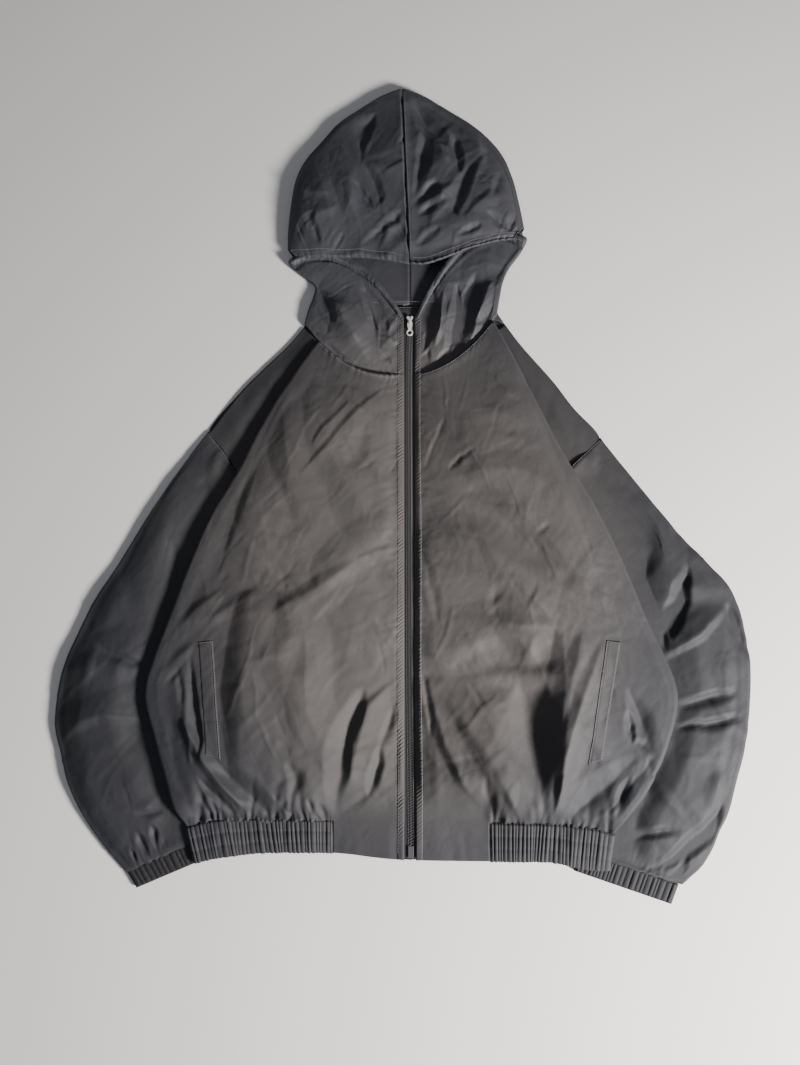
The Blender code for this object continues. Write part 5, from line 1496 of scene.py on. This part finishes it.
NECKS = {
    "right": [
        (0.3600, -0.1500, 0.4420, 0.0120, 0.0020, 0.0400),
        (0.3565, -0.1560, 0.4330, 0.0125, 0.0035, 0.0340),
        (0.3520, -0.1400, 0.4185, 0.0115, 0.0025, 0.0260),
        (0.3460, -0.1230, 0.4040, 0.0095, 0.0015, 0.0160),
        (0.3300, -0.1240, 0.3880, 0.0105, 0.0060, 0.0080),
        (0.3080, -0.1300, 0.3700, 0.0105, 0.0060, -0.0060),
        (0.2842, -0.1350, 0.3510, 0.0080, 0.0010, -0.0260),
    ],
    "left": [
        (0.3560, 0.1440, 0.4650, 0.0120, 0.0020, 0.0520),
        (0.3525, 0.1500, 0.4590, 0.0125, 0.0035, 0.0360),
        (0.3480, 0.1430, 0.4440, 0.0115, 0.0025, 0.0180),
        (0.3420, 0.1270, 0.4220, 0.0095, 0.0015, 0.0080),
        (0.3270, 0.1185, 0.4020, 0.0105, 0.0060, 0.0020),
        (0.3060, 0.1145, 0.3830, 0.0105, 0.0060, -0.0070),
        (0.2842, 0.1100, 0.3570, 0.0080, 0.0010, -0.0180),
    ],
}
HOOD_BACK = ("y_in", "x_out", "y_out", "bow")
HOOD_BACKS = {
    "right": [
        (0.3950, -0.1280, 0.3700, 0.0070),
        (0.4150, -0.1190, 0.4000, 0.0040),
        (0.4300, -0.1380, 0.4230, 0.0000),
        (0.4450, -0.1510, 0.4400, 0.0000),
        (0.4900, -0.1540, 0.4900, 0.0000),
        (0.5400, -0.1490, 0.5400, 0.0000),
        (0.5900, -0.1270, 0.5880, 0.0000),
        (0.6300, -0.0930, 0.6260, 0.0000),
        (0.6600, -0.0530, 0.6550, 0.0000),
        (0.6770, -0.0260, 0.6730, 0.0000),
    ],
    "left": [
        (0.3950, 0.1100, 0.3700, 0.0070),
        (0.4150, 0.1130, 0.4000, 0.0040),
        (0.4330, 0.1200, 0.4220, 0.0000),
        (0.4480, 0.1380, 0.4440, 0.0000),
        (0.4620, 0.1460, 0.4600, 0.0000),
        (0.4900, 0.1440, 0.4880, 0.0000),
        (0.5400, 0.1320, 0.5380, 0.0000),
        (0.5900, 0.1080, 0.5880, 0.0000),
        (0.6300, 0.0690, 0.6260, 0.0000),
        (0.6580, 0.0330, 0.6500, 0.0000),
        (0.6740, 0.0060, 0.6690, 0.0000),
    ],
}
CROWN_CREASES = {
    "right": [
        (-45, 642, -64, 564, -7, 9, 24, -8.5, 0.12),
        (-66, 574, -38, 500, 6, 9, 28, -8, 0.12),
        (-82, 560, -80, 500, 8, 16, 12, 3.5, 0.15),
        (-78, 546, -47, 503, 0, 6, 14, -4, 0.1),
        (-147, 468, -122, 498, 0, 9, 12, -5, 0.1),
        (-130, 494, -112, 454, 0, 7, 11, -4, 0.1),
        (-98, 446, -84, 470, 0, 6, 8, -3.5, 0.15),
        (-34, 503, -8, 454, 3, 9, 11, -5, 0.12),
        (-48, 466, -10, 498, 0, 8, 9, -5, 0.12),
        (-22, 494, -4, 462, 0, 6, 7, -4.5, 0.12),
        (-62, 452, -30, 478, 0, 7, 8, -3.5, 0.12),
        (-18, 588, -2, 604, 0, 6, 6, -3, 0.15),
        (-37, 547, -2, 568, 0, 6, 20, 3, 0.12),
        (-141, 477, -88, 508, 0, 20, 12, 3, 0.2),
        (-150, 530, -100, 520, 0, 14, 10, 2, 0.12),
        (-105, 606, -83, 630, 0, 12, 14, 2, 0.3),
    ],
    "left": [
        (6, 662, 56, 588, -5, 12, 15, -9.5, 0.1),
        (62, 646, 98, 560, 8, 10, 22, 5.5, 0.1),
        (20, 618, 7, 512, 5, 15, 8, -8, 0.1),
        (34, 610, 52, 560, 0, 10, 12, 4, 0.12),
        (58, 606, 68, 548, 0, 10, 12, -7, 0.1),
        (108, 584, 58, 490, -12, 15, 24, -11, 0.14),
        (98, 578, 26, 470, -10, 26, 13, 6, 0.1),
        (3, 502, 40, 538, 0, 9, 11, -6, 0.1),
        (12, 490, 50, 513, 0, 8, 9, -4.5, 0.1),
        (5, 448, 40, 474, 0, 7, 9, -4, 0.12),
        (71, 486, 110, 520, 0, 9, 22, 3.5, 0.1),
        (122, 462, 137, 494, 0, 6, 7, -4.5, 0.12),
        (100, 492, 126, 470, 0, 8, 9, -4, 0.12),
        (106, 509, 120, 548, 0, 8, 12, -3.5, 0.12),
        (60, 462, 92, 478, 0, 6, 8, -3.5, 0.12),
    ],
}
COLLAR_CREASES = {
    "right": [
        (-110, 396, -52, 300, 2, 20, 26, 8, 0.22),
        (-62, 412, -38, 316, 5, 15, 12, -9, 0.14),
        (-118, 404, -92, 350, 0, 8, 12, -7, 0.1),
        (-138, 354, -62, 288, -4, 8, 9, -4.5, 0.1),
        (-105, 334, -93, 365, 0, 12, 8, -4, 0.2),
        (-44, 342, -50, 361, 0, 5, 8, -3, 0.15),
        (-82, 306, -113, 327, 0, 6, 7, -5, 0.12),
        (-113, 336, -133, 351, 0, 4, 4, -4, 0.15),
        (-15, 323, -41, 335, 0, 5, 6, 2.5, 0.1),
        (-37, 287, -100, 311, 4, 6, 6, -4, 0.12),
        (-14, 366, -34, 330, 0, 8, 9, 3.5, 0.12),
        (-24, 298, -40, 318, 0, 5, 5, -3.5, 0.12),
    ],
    "left": [
        (32, 404, 19, 312, 3, 8, 10, -8, 0.12),
        (44, 396, 33, 318, 0, 9, 9, 6, 0.15),
        (60, 402, 45, 308, 4, 8, 9, -9, 0.12),
        (84, 416, 54, 296, -4, 18, 12, -11, 0.18),
        (104, 404, 72, 322, -3, 13, 14, 5, 0.14),
        (15, 289, 26, 316, 0, 6, 7, -5, 0.12),
        (33, 292, 52, 318, 0, 6, 7, -6, 0.12),
        (51, 293, 75, 322, 0, 6, 7, -5.5, 0.12),
        (80, 345, 104, 374, 0, 6, 8, -4.5, 0.12),
        (19, 329, 28, 352, 0, 6, 6, 3, 0.2),
    ],
}
print("hood tables ready")

# %% Crown


def crown_grid(word, side):
    rows = spline_rows(CROWN, CROWNS[word], 120)
    run_x = rows.x_out - rows.x_in
    run_y = rows.y_out - rows.y_in
    length, out_x, out_y = direction(run_x, run_y)
    radius = (rows.z_out - LAYER) / 2
    s = np.linspace(0, 1, 110)[None, :]
    x = rows.x_in + (run_x - out_x * radius) * s
    y = rows.y_in + (run_y - out_y * radius) * s
    z = rows.z_in + (rows.z_out - rows.z_in) * s + rows.rise * np.sin(math.pi * s)
    relief = crease_height(x, y, CROWN_CREASES[word])
    relief += crumple(x, y, 0.040, 0.0022, 201 if side < 0 else 217)
    relief += fold_lines(side * x, y, 34, (0, 150, 435, 660), 7 if side < 0 else 8)
    fade = np.minimum(1, 0.25 + 0.75 * smooth((1 - s) * length / 0.03))
    fade = fade * smooth(s * length / 0.006 + 0.25)
    z = z + relief * fade
    # The seam at the middle is a narrow valley
    row_far = np.abs(x - (rows.x_in[:1] + (rows.x_out[:1] - rows.x_in[:1]) * s))
    z = z - 0.0009 * np.exp(-((row_far / 0.0018) ** 2))
    z = z + 0.0003 * wave(y, 0.008, 5) * np.exp(-row_far / 0.005)
    # Small gathers from the opening's edge, where cloth is turned under
    rim = np.zeros_like(z)
    rng = np.random.default_rng(41 if side < 0 else 42)
    across = np.hypot(rows.x_in - rows.x_in[0], rows.y_in - rows.y_in[0])
    for place in np.arange(0.006, across.max(), 0.0085):
        middle = place + rng.uniform(-0.003, 0.003)
        reach = rng.uniform(0.008, 0.026)
        up = np.clip(s * length / reach, 0, 1)
        width = 0.0014 + 0.003 * up
        rim -= rng.uniform(0.0004, 0.0016) * (1 - up) ** 1.4 * np.exp(
            -(((across - middle) / width) ** 2))
    z = z + rim
    top = np.dstack([x, y, z])
    inside = np.minimum(np.minimum(s, 1 - s) * length, row_far)
    depth = 0.0005 + 0.0080 * smooth(inside / 0.035)
    keep = smooth((1 - s) * length / 0.012) * smooth(row_far / 0.003)
    top = settled(top, smooth(inside / 0.012), depth, 84, 72, keep, 0.045)
    z = top[..., 2]
    lip = np.minimum(EDGE_LIP, 0.35 * length)
    roll = rolled_past(x[:, -1:], y[:, -1:], z[:, -1:], out_x, out_y, LAYER, lip, 10)
    # The opening's edge is rolled in towards the face
    near_z = z[:, :1]
    drop = np.minimum(0.0042, near_z - 0.0040)
    near = rolled(x[:, :1] - out_x * drop / 2, y[:, :1] - out_y * drop / 2,
                  -out_x, -out_y, near_z, near_z - drop, 0.007, 7)
    return np.concatenate([near[:, ::-1], top, roll], axis=1)


crown_pieces = {}
crown_grids = {}
for word, side in SIDES.items():
    crown_grids[word] = crown_grid(word, side)
    piece = cloth(f"{word}_hood_crown", [crown_grids[word]], HOOD_CLOTH, side > 0)
    settle(piece, f"hood_{word}")
    crown_pieces[word] = piece

# %% Hood front
HOOD_LIP_REST = LAYER + GAP
NECK_LIP = 0.008


def hood_front_grid(word, side):
    rows = spline_rows(NECK, NECKS[word], 100)
    start_x = side * ZIP_EDGE[word]
    run_x = rows.x_out - start_x
    run_y = rows.y_out - rows.y_in
    length, out_x, out_y = direction(run_x, run_y)
    share = 1 - (rows.z_out - HOOD_LIP_REST) / 2 / length
    s = np.linspace(0, 1, 110)[None, :]
    x = start_x + run_x * share * s
    y = rows.y_in + run_y * share * s + rows.bow * 4 * s * (1 - s)
    z = REST + (rows.z_out - REST) * s + rows.rise * np.sin(math.pi * s)
    relief = crease_height(x, y, COLLAR_CREASES[word])
    relief += crumple(x, y, 0.030, 0.0014, 251 if side < 0 else 267)
    relief += fold_lines(side * x, y, 26, (0, 140, 290, 430), 9 if side < 0 else 10)
    fade = smooth(s * length / 0.012) * (0.3 + 0.7 * smooth((1 - s) * length / 0.018))
    below = y[:1] - y
    above = y - y[-1:]
    fade = fade * smooth(below / 0.008 + 0.1) * smooth(above / 0.010)
    z = z + relief * fade
    z = np.maximum(z, REST - 0.0003)
    z = z - 0.0012 * np.exp(-((above / 0.0018) ** 2))
    z = z + 0.0004 * wave(x, 0.007, 6) * np.exp(-above / 0.004) * smooth(s * length / 0.01)
    # The face edge is a turned hem over a cord channel, which stands above the cloth below it
    far = np.hypot(x - x[:1], y - y[:1])
    off_zip = smooth(s * length / 0.014)
    hem = smooth((0.0115 - far) / 0.0035)
    z = z + (0.0026 * hem - 0.0024 * np.exp(-(((far - 0.0135) / 0.0030) ** 2))) * off_zip
    z = z + puckers(np.abs(far - 0.0100), s * length, 0.0007, 0.0085, 0.006, 71) * off_zip
    z = z + puckers(above, x, 0.0006, 0.010, 0.008, 73) * off_zip
    z = np.maximum(z, REST - 0.0003)
    top = np.dstack([x, y, z])
    inside = np.minimum(np.minimum(s, 1 - s) * length, np.minimum(above, far - 0.012))
    depth = 0.0004 + 0.0052 * smooth(inside / 0.020)
    keep = smooth((1 - s) * length / 0.012) * smooth((far - 0.012) / 0.006)
    keep = keep * smooth(s * length / 0.008)
    top = settled(top, smooth(inside / 0.010), depth, 60, 66, keep, 0.05)
    top[..., 2] = np.maximum(top[..., 2], REST - 0.0003)
    return top, rolled_past(x[:, -1:], y[:, -1:], top[:, -1:, 2], out_x, out_y, HOOD_LIP_REST,
                            NECK_LIP, 8)


hood_fronts = {}
collar_grids = {}
for word, side in SIDES.items():
    top, roll = hood_front_grid(word, side)
    collar_grids[word] = top
    grid = np.concatenate([top, roll], axis=1)
    piece = cloth(f"{word}_hood_front", [grid], HOOD_CLOTH, side > 0)
    settle(piece, f"hood_front_{word}")
    hood_fronts[word] = piece

# %% Hood back
SEAM_LEAN = -0.0100
SEAM_FOOT = 0.4275
SEAM_LENGTH = 0.2555


def seam_x(y):
    """The hood's centre seam leans a little towards the wearer's right."""
    return SEAM_LEAN * np.clip((y - SEAM_FOOT) / SEAM_LENGTH, 0, 1)


def hood_back_grid(word, side):
    x_right, y_right, x_left, y_left, bow, _ = BACK_ROWS[-1]
    end = (x_right, y_right) if side < 0 else (x_left, y_left)
    neck = (0.5 * (y_right + y_left) + bow, *end, 0)
    rows = spline_rows(HOOD_BACK, [neck] + HOOD_BACKS[word], 84)
    s = np.linspace(0, 1, 40)[None, :]
    start_x = seam_x(rows.y_in) + side * GAP / 2
    x = start_x + (rows.x_out - start_x) * s
    y = rows.y_in + (rows.y_out - rows.y_in) * s + rows.bow * 4 * s * (1 - s)
    relief = np.maximum(0, crumple(x, y, 0.03, 0.0016, 301 if side < 0 else 317))
    z = relief * np.sin(math.pi * s) * smooth((y - 0.40) / 0.02) * smooth((0.60 - y) / 0.05)
    z = z + 0.0010 * np.exp(-((s * np.abs(rows.x_out) / 0.004) ** 2)) * smooth((y - 0.38) / 0.01)
    return np.dstack([x, y, z])


for word, side in SIDES.items():
    piece = cloth(f"{word}_hood_lower", [hood_back_grid(word, side)], HOOD_CLOTH, side > 0)
    settle(piece, f"hood_back_{word}")

# %% [markdown]
# ## Plackets
# Each front is turned in along the zip and stitched down twice. The thread draws the doubled
# strip up into slanting puckers, like a thin rope, so the strip is a piece of its own with
# rows close enough to carry them. It is laid on the front by dropping its points onto it.

# %% Plackets
ROPE_PITCH = 0.0043


def placket_grid(word, side):
    foot = float(hem_y(word, np.array([[side * 0.01]]), 0)[0, 0]) + 0.0008
    collar_top = NECKS[word][0][0] - 0.0006
    y = np.linspace(foot, collar_top, 900)[:, None]
    w = np.linspace(0, 1, 13)[None, :]
    across = -0.0003 + (PLACKET_WIDTH[word] + 0.0003) * w
    drift = 0.0005 * np.sin(y / 0.045)
    x = side * (ZIP_EDGE[word] + across) + drift * w
    y = y + 0 * w
    safe_x = side * np.maximum(np.abs(x), ZIP_EDGE[word] + 0.0008)
    base = np.maximum(heights_over(front_pieces[word], safe_x, y),
                      heights_over(hood_fronts[word], safe_x, y))
    strength = np.clip(0.55 + 0.55 * wave(y, 0.048, 7 if side < 0 else 9), 0.12, 1)
    strength = strength * smooth((y - foot) / 0.06)
    rope = np.sin((y - 0.9 * x) / ROPE_PITCH * math.tau + 1.4 * np.sin(y / 0.017))
    z = base + 0.0008 * (1 - (2 * w - 1) ** 4)
    z = z + 0.00058 * rope * strength * np.sin(math.pi * w) ** 0.5
    z[:, 0] = base[:, 0] - 0.0010
    z[:, -1] = base[:, -1] - 0.0002
    return np.dstack([x, y, z])


plackets = {}
for word, side in SIDES.items():
    piece = cloth(f"{word}_placket", [placket_grid(word, side)], BODY_CLOTH, side < 0, 0)
    settle(piece)
    plackets[word] = piece

# %% [markdown]
# ## Pockets
# A slanted welt closes each pocket: a folded strip, stitched down along its inner line and at
# both ends. It has to lie exactly on the swollen front, so its points are dropped onto the
# front from above.

# %% Pocket welts
WELTS = {
    "right": ((-232.0, -48.1), (-216.0, -185.8), -17.5),
    "left": ((225.9, -48.8), (198.8, -188.2), 16.5),
}


def welt_grid(word, side):
    """From the inner line outwards, laid on the front."""
    (x0, y0), (x1, y1), width = WELTS[word]
    t = np.linspace(0, 1, 90)[:, None]
    w = np.linspace(0, 1, 16)[None, :]
    x = (x0 + (x1 - x0) * t + width * w) * MM
    y = (y0 + (y1 - y0) * t + (-2.3 + 10.0 * t) * w * (1 if side < 0 else 0.8)) * MM
    z = heights_over(front_pieces[word], x, y)
    edge = np.minimum(np.minimum(w, 1 - w) * abs(width), np.minimum(t, 1 - t) * 139) / 1.1
    z = z + 0.0006 * np.sqrt(np.clip(edge, 0, 1)) + 0.0001
    z = z - 0.0005 * np.exp(-(((w * abs(width) - 2.2) / 0.5) ** 2))
    return np.dstack([x, y, z])


welts = {}
for word, side in SIDES.items():
    piece = cloth(f"{word}_welt", [welt_grid(word, side)], BODY_CLOTH, side > 0, 0.0004)
    settle(piece, f"pocket_welt_{word}")
    welts[word] = piece

# %% Zip finishes


def zip_material(name, colour, roughness, metallic=0.0, grain=400.0):
    """Moulded or cast parts: a fine grain and a little drift of gloss."""
    material, shader = new_material(name)
    graph = Graph(material.node_tree)
    tone = graph.add("ShaderNodeGroup", {"node_tree": DRIFT}, Patches=grain).outputs["Tone"]
    gloss = graph.add("ShaderNodeMapRange", Value=tone,
                      To_Min=roughness - 0.08, To_Max=roughness + 0.10)
    bump = graph.add("ShaderNodeBump", Height=tone, Strength=0.2, Distance=0.0002)
    graph.fill(shader, Roughness=gloss.outputs["Result"], Normal=bump.outputs["Normal"],
               Base_Color=(*colour, 1), Metallic=metallic)
    return material


ZIP_BLACK = zip_material("zip_plastic", (0.050, 0.050, 0.055), 0.42)
ZIP_SILVER = zip_material("zip_metal", (0.86, 0.84, 0.80), 0.42, 0.55, 250.0)
THREAD = zip_material("thread", (0.16, 0.155, 0.16), 0.55, 0.0, 900.0)
TAPE_CLOTH = nylon("zip_tape_weave", 0.8, 200.0, 0.1, 700.0, dark=0.8)

# %% Zip tapes
def node_box(name):
    """A solid's lowest and highest corner."""
    node = bpy.data.objects[name]
    corners = np.array([node.matrix_world @ Vector(corner) for corner in node.bound_box])
    return corners.min(axis=0), corners.max(axis=0)


def chain_x(y):
    """The chain leans a little to the wearer's right between its two ends."""
    return -0.0019 * smooth((0.348 - y) / 0.07) * smooth((y + 0.285) / 0.25)


tape_low, tape_high = node_box("zip_tape_right")
tapes = {}
for word, side in SIDES.items():
    y = np.linspace(tape_low[1], tape_high[1], 240)[:, None]
    across = np.array([0.0003, 0.0028, 0.0034, 0.0040, 0.0090, 0.0150])[None, :]
    x = chain_x(y) + side * across
    rise = 0.0004 * np.exp(-(((across - 0.0034) / 0.0005) ** 2))
    grid = np.dstack([x, y + 0 * x, tape_high[2] - 0.0001 + rise + 0 * x])
    piece = cloth(f"{word}_tape", [grid], TAPE_CLOTH, side < 0, 0.0007)
    settle(piece, f"zip_tape_{word}", slot="zip_tape")
    tapes[word] = piece
print("tapes are", round(float(tape_high[1] - tape_low[1]), 4), "long")

# %% [markdown]
# ## Zip teeth, slider and pull
# The teeth are small moulded bars that alternate from side to side, so the line between them
# zigzags and leaves a row of dark pits. A row of thread holds them to each tape. All of them
# are one mesh of chamfered blocks.
#
# The slider is cast metal: a top plate with two lobes where the tapes part, an under plate,
# and a bridge that the pull hangs on. The pull swings about that bridge, so it is an object of
# its own that rides on the moving body.

# %% Zip teeth
BLOCK_FACES = np.array([
    (0, 1, 5, 4), (1, 2, 6, 5), (2, 3, 7, 6), (3, 0, 4, 7), (4, 5, 9, 8),
    (5, 6, 10, 9), (6, 7, 11, 10), (7, 4, 8, 11), (8, 9, 10, 11), (3, 2, 1, 0),
])


def blocks(name, places, size, chamfer, material, turns=0.0):
    """Many small blocks with chamfered tops as one object. size is (x, y, height)."""
    places = np.asarray(places, dtype=float)
    turns = turns + np.zeros(len(places))
    square = np.array([(-1, -1), (1, -1), (1, 1), (-1, 1)]) / 2
    rings = []
    for inset, height in ((0, 0), (0, size[2] - chamfer), (chamfer, size[2])):
        flat = square * (np.array(size[:2]) - 2 * inset)
        rings.append(np.column_stack([flat, np.full(4, height)]))
    shape = np.concatenate(rings)
    cosine = np.cos(turns)[:, None]
    sine = np.sin(turns)[:, None]
    x = places[:, :1] + shape[:, 0] * cosine - shape[:, 1] * sine
    y = places[:, 1:2] + shape[:, 0] * sine + shape[:, 1] * cosine
    z = places[:, 2:] + shape[:, 2] + 0 * x
    faces = BLOCK_FACES[None] + 12 * np.arange(len(places))[:, None, None]
    points = np.stack([x, y, z], axis=-1).reshape(-1, 3)
    return mesh_object(name, points.tolist(), faces.reshape(-1, 4).tolist(), material)


TOOTH_PITCH = 0.0029
TEETH_START = node_box("zip_box")[1][1] + 0.001
_, chain_high = node_box("zip_chain")
TEETH_END = chain_high[1] - 0.001
tape_top = tape_high[2]
y = np.arange(TEETH_START, TEETH_END, TOOTH_PITCH / 2)
step = np.arange(len(y))
swing = np.where(step % 2 == 0, -0.00085, 0.00095)
teeth = blocks(
    "teeth", np.column_stack([chain_x(y) + swing, y, tape_top - 0.0004 + 0 * y]),
    (0.0036, 0.00112, chain_high[2] - tape_top + 0.0004), 0.0003, ZIP_BLACK, 0.16)
settle(teeth, "zip_chain", slot="zip_teeth")
threads = []
for side, far in ((-1, 0.0031), (1, 0.0034)):
    y = np.arange(TEETH_START, TEETH_END, 0.0017)
    threads.append(np.column_stack([chain_x(y) + side * far, y, tape_top + 0 * y]))
thread_row = blocks(
    "teeth_thread", np.concatenate(threads), (0.0005, 0.0012, 0.0009), 0.0002, THREAD)
settle(thread_row, slot="zip_tape")
bpy.data.objects["zip_box"].material_slots[0].material = ZIP_BLACK
print(teeth.name, len(step), "teeth,", len(teeth.data.polygons), "faces")


# %% Slider and pull
def plates(name, outlines, material, bevel):
    """Flat outlines in millimetres, each raised from low to high, with rounded edges."""
    body = bmesh.new()
    for half, low, high in outlines:
        other = [(-x, y) for x, y in reversed(half) if x > 0]
        face = body.faces.new([body.verts.new((x * MM, y * MM, low)) for x, y in half + other])
        raised = bmesh.ops.extrude_face_region(body, geom=[face])
        moved = [part for part in raised["geom"] if isinstance(part, bmesh.types.BMVert)]
        bmesh.ops.translate(body, verts=moved, vec=(0, 0, high - low))
    bmesh.ops.recalc_face_normals(body, faces=body.faces)
    mesh = bpy.data.meshes.new(name)
    body.to_mesh(mesh)
    body.free()
    mesh.materials.append(material)
    mesh.shade_smooth()
    piece = add_object(name, mesh)
    soft = piece.modifiers.new("Rounded edges", "BEVEL")
    soft.width = bevel
    soft.segments = 3
    soft.limit_method = "ANGLE"
    soft.angle_limit = math.radians(35)
    return piece


slider_low, slider_high = node_box("zip_slider")
plate_top = slider_high[2] - 0.0026
foot = slider_low[1] / MM
LOBED = [
    (0.0, 8.6), (0.9, 10.0), (1.2, 11.6), (1.9, 12.5), (2.9, 12.6), (3.8, 11.9), (4.1, 10.6),
    (3.7, 9.2), (2.7, 7.8), (2.3, 6.2), (2.4, 3.8), (2.9, 2.2), (3.0, 0.7), (2.5, 0.0), (0.0, 0.0),
]
hinge_y = 0.003 / MM


def bar(half_width, far, near):
    """Half of a rectangle about the zip's line."""
    return [(0.0, far), (half_width, far), (half_width, near), (0.0, near)]


BRIDGE_TOP = [
    (0.0, hinge_y + 2.3), (0.8, hinge_y + 2.1), (0.8, hinge_y - 2.4), (0.0, hinge_y - 2.6)]


def along_zip(half):
    return [(x, y + foot) for x, y in half]


slider = plates("slider", [
    (along_zip(LOBED), plate_top - 0.0011, plate_top + 0.0003),
    (along_zip(bar(3.2, 12.0, 1.2)), slider_low[2], slider_low[2] + 0.0010),
    (along_zip(bar(1.1, 12.0, 8.8)), slider_low[2] + 0.0002, plate_top - 0.0004),
    (along_zip(bar(0.9, hinge_y - 1.5, hinge_y - 2.6)), plate_top, slider_high[2] - 0.0001),
    (along_zip(bar(0.9, hinge_y + 2.3, hinge_y + 1.3)), plate_top, slider_high[2] - 0.0001),
    (along_zip(BRIDGE_TOP), slider_high[2] - 0.0011, slider_high[2]),
], ZIP_SILVER, 0.00035)
settle(slider, "zip_slider", slot="zip_metal")

pull_low, pull_high = node_box("zip_pull")
eye_y = foot + hinge_y
ring_y = pull_low[1] + 0.0043
EYE_TOP = [(0.0, 0.6), (2.6, 0.6), (3.0, 0.1), (3.0, -0.4), (0.0, -0.4)]
NECK_PLATE = [(0.0, -3.4), (3.0, -3.4), (2.7, -5.4), (2.2, -7.2), (1.9, -9.2), (0.0, -9.2)]
pull = plates("pull", [
    ([(x, y + eye_y) for x, y in half], pull_low[2], pull_high[2])
    for half in (EYE_TOP, NECK_PLATE)], ZIP_SILVER, 0.0002)
body = bmesh.new()
body.from_mesh(pull.data)
for side in (-1, 1):
    low_corner = Vector((min(side * 0.0014, side * 0.0030), (eye_y - 3.6) * MM, pull_low[2]))
    high_corner = Vector((max(side * 0.0014, side * 0.0030), (eye_y - 0.2) * MM, pull_high[2]))
    middle = Matrix.Translation((low_corner + high_corner) / 2)
    scale = Matrix.Diagonal((*(high_corner - low_corner), 1))
    bmesh.ops.create_cube(body, size=1, matrix=middle @ scale)
turn = np.linspace(0, math.tau, 49)[:-1]
roll = np.linspace(0, math.tau, 13)[:-1]
high = (pull_high[2] - pull_low[2]) / 2
rings = []
for angle in turn:
    ring = []
    for tilt in roll:
        radius = 0.0034 + 0.0009 * math.cos(tilt)
        ring.append(body.verts.new((
            radius * math.cos(angle), ring_y + radius * math.sin(angle),
            pull_low[2] + high + high * math.sin(tilt))))
    rings.append(ring)
for index, ring in enumerate(rings):
    after = rings[(index + 1) % len(rings)]
    for spot in range(len(ring)):
        nearby = (spot + 1) % len(ring)
        body.faces.new((ring[spot], after[spot], after[nearby], ring[nearby]))
bmesh.ops.recalc_face_normals(body, faces=body.faces)
body.to_mesh(pull.data)
body.free()
pull.data.shade_smooth()
settle(pull, "zip_pull", body="zip_pull", slot="zip_metal")
print("pull reaches from", round(float(pull_low[1]), 4), "to", round(float(pull_high[1]), 4))

# %% [markdown]
# ## Stitches
# Thread shows along the pockets, the plackets, the neck, the armholes and the hems of the hood.
# A lockstitch looks like a row of short dashes pressed into the cloth, so each dash is a small
# chamfered block, turned along its line and laid on the cloth below it.

# %% Stitches
STITCH = 0.0032


def stitches(name, lines, supports, slot="shell"):
    """Dashes along lines of (x, y) points, laid on the highest of the supports."""
    places = []
    turns = []
    for line in lines:
        line = np.asarray(line)
        run = np.concatenate([[0], np.cumsum(np.hypot(*np.diff(line, axis=0).T))])
        at = np.arange(STITCH / 2, run[-1], STITCH)
        x, y = (np.interp(at, run, line[:, axis]) for axis in (0, 1))
        ahead_x, ahead_y = (
            np.interp(at + 0.0005, run, line[:, axis]) - np.interp(at - 0.0005, run, line[:, axis])
            for axis in (0, 1))
        z = np.max([heights_over(piece, x, y) for piece in supports], axis=0)
        places.append(np.column_stack([x, y, z - 0.0001]))
        turns.append(np.arctan2(ahead_y, ahead_x))
    piece = blocks(name, np.concatenate(places), (0.0022, 0.00045, 0.00038), 0.00012, THREAD,
                   np.concatenate(turns))
    settle(piece, slot=slot)
    print(name, "has", len(np.concatenate(turns)), "stitches")
    return piece


def inset(grid, far):
    """The line on a grid that runs a given way in from its first row."""
    gone = np.hypot(grid[..., 0] - grid[:1, :, 0], grid[..., 1] - grid[:1, :, 1])
    return np.array([
        [np.interp(far, gone[:, column], grid[:, column, axis]) for axis in (0, 1)]
        for column in range(grid.shape[1])])


for word, side in SIDES.items():
    (x0, y0), (x1, y1), width = WELTS[word]
    inner = 0.08 * width
    pocket = [[((x0 + inner) * MM, (y0 - 1) * MM), ((x1 + inner) * MM, (y1 + 2) * MM)]]
    if word == "left":
        outer = 0.86 * width
        pocket.append([((x0 + outer) * MM, (y0 - 4) * MM), ((x1 + outer) * MM, (y1 + 6) * MM)])
    bartack = 0.9 * width
    pocket.append([((x0 + inner) * MM, (y0 - 1.5) * MM), ((x0 + bartack) * MM, (y0 - 3.5) * MM)])
    pocket_row = stitches(f"{word}_pocket_stitches", pocket, [front_pieces[word], welts[word]])
    edge = side * (ZIP_EDGE[word] + PLACKET_WIDTH[word] - 0.0010)
    line_y = np.linspace(-0.288, 0.355, 200)
    zip_line = np.column_stack([edge + 0.0005 * np.sin(line_y / 0.045), line_y])
    neck = fronts[word][0][-1, 8:, :2] - (0, 0.0030)
    neck_row = stitches(f"{word}_front_stitches", [zip_line, neck],
                        [front_pieces[word], plackets[word], hood_fronts[word]])
    hole = shoulder_edges[word][:-2] + (side * 0.0010, -0.0008)
    arm_row = stitches(f"{word}_armhole_stitches", [hole], [sleeve_pieces[word]])
    face = inset(collar_grids[word][:, 6:], 0.0098)
    face_row = stitches(f"{word}_face_stitches", [face], [hood_fronts[word]])
    line_y = np.linspace(0.440, 0.672, 80)
    middle = np.column_stack([seam_x(line_y) + side * 0.0026, line_y])
    opening = inset(crown_grids[word][4:, 6:].transpose(1, 0, 2), 0.0100)
    crown_row = stitches(f"{word}_crown_stitches", [middle, opening], [crown_pieces[word]])
    SimpleNamespace(pocket=pocket_row, front=neck_row, arm=arm_row, face=face_row,
                                 crown=crown_row)
neck_lines = [[(-0.046, height), (0.046, height)] for height in (0.3745, 0.3800)]
back_row = stitches("back_neck_stitches", neck_lines, [back])
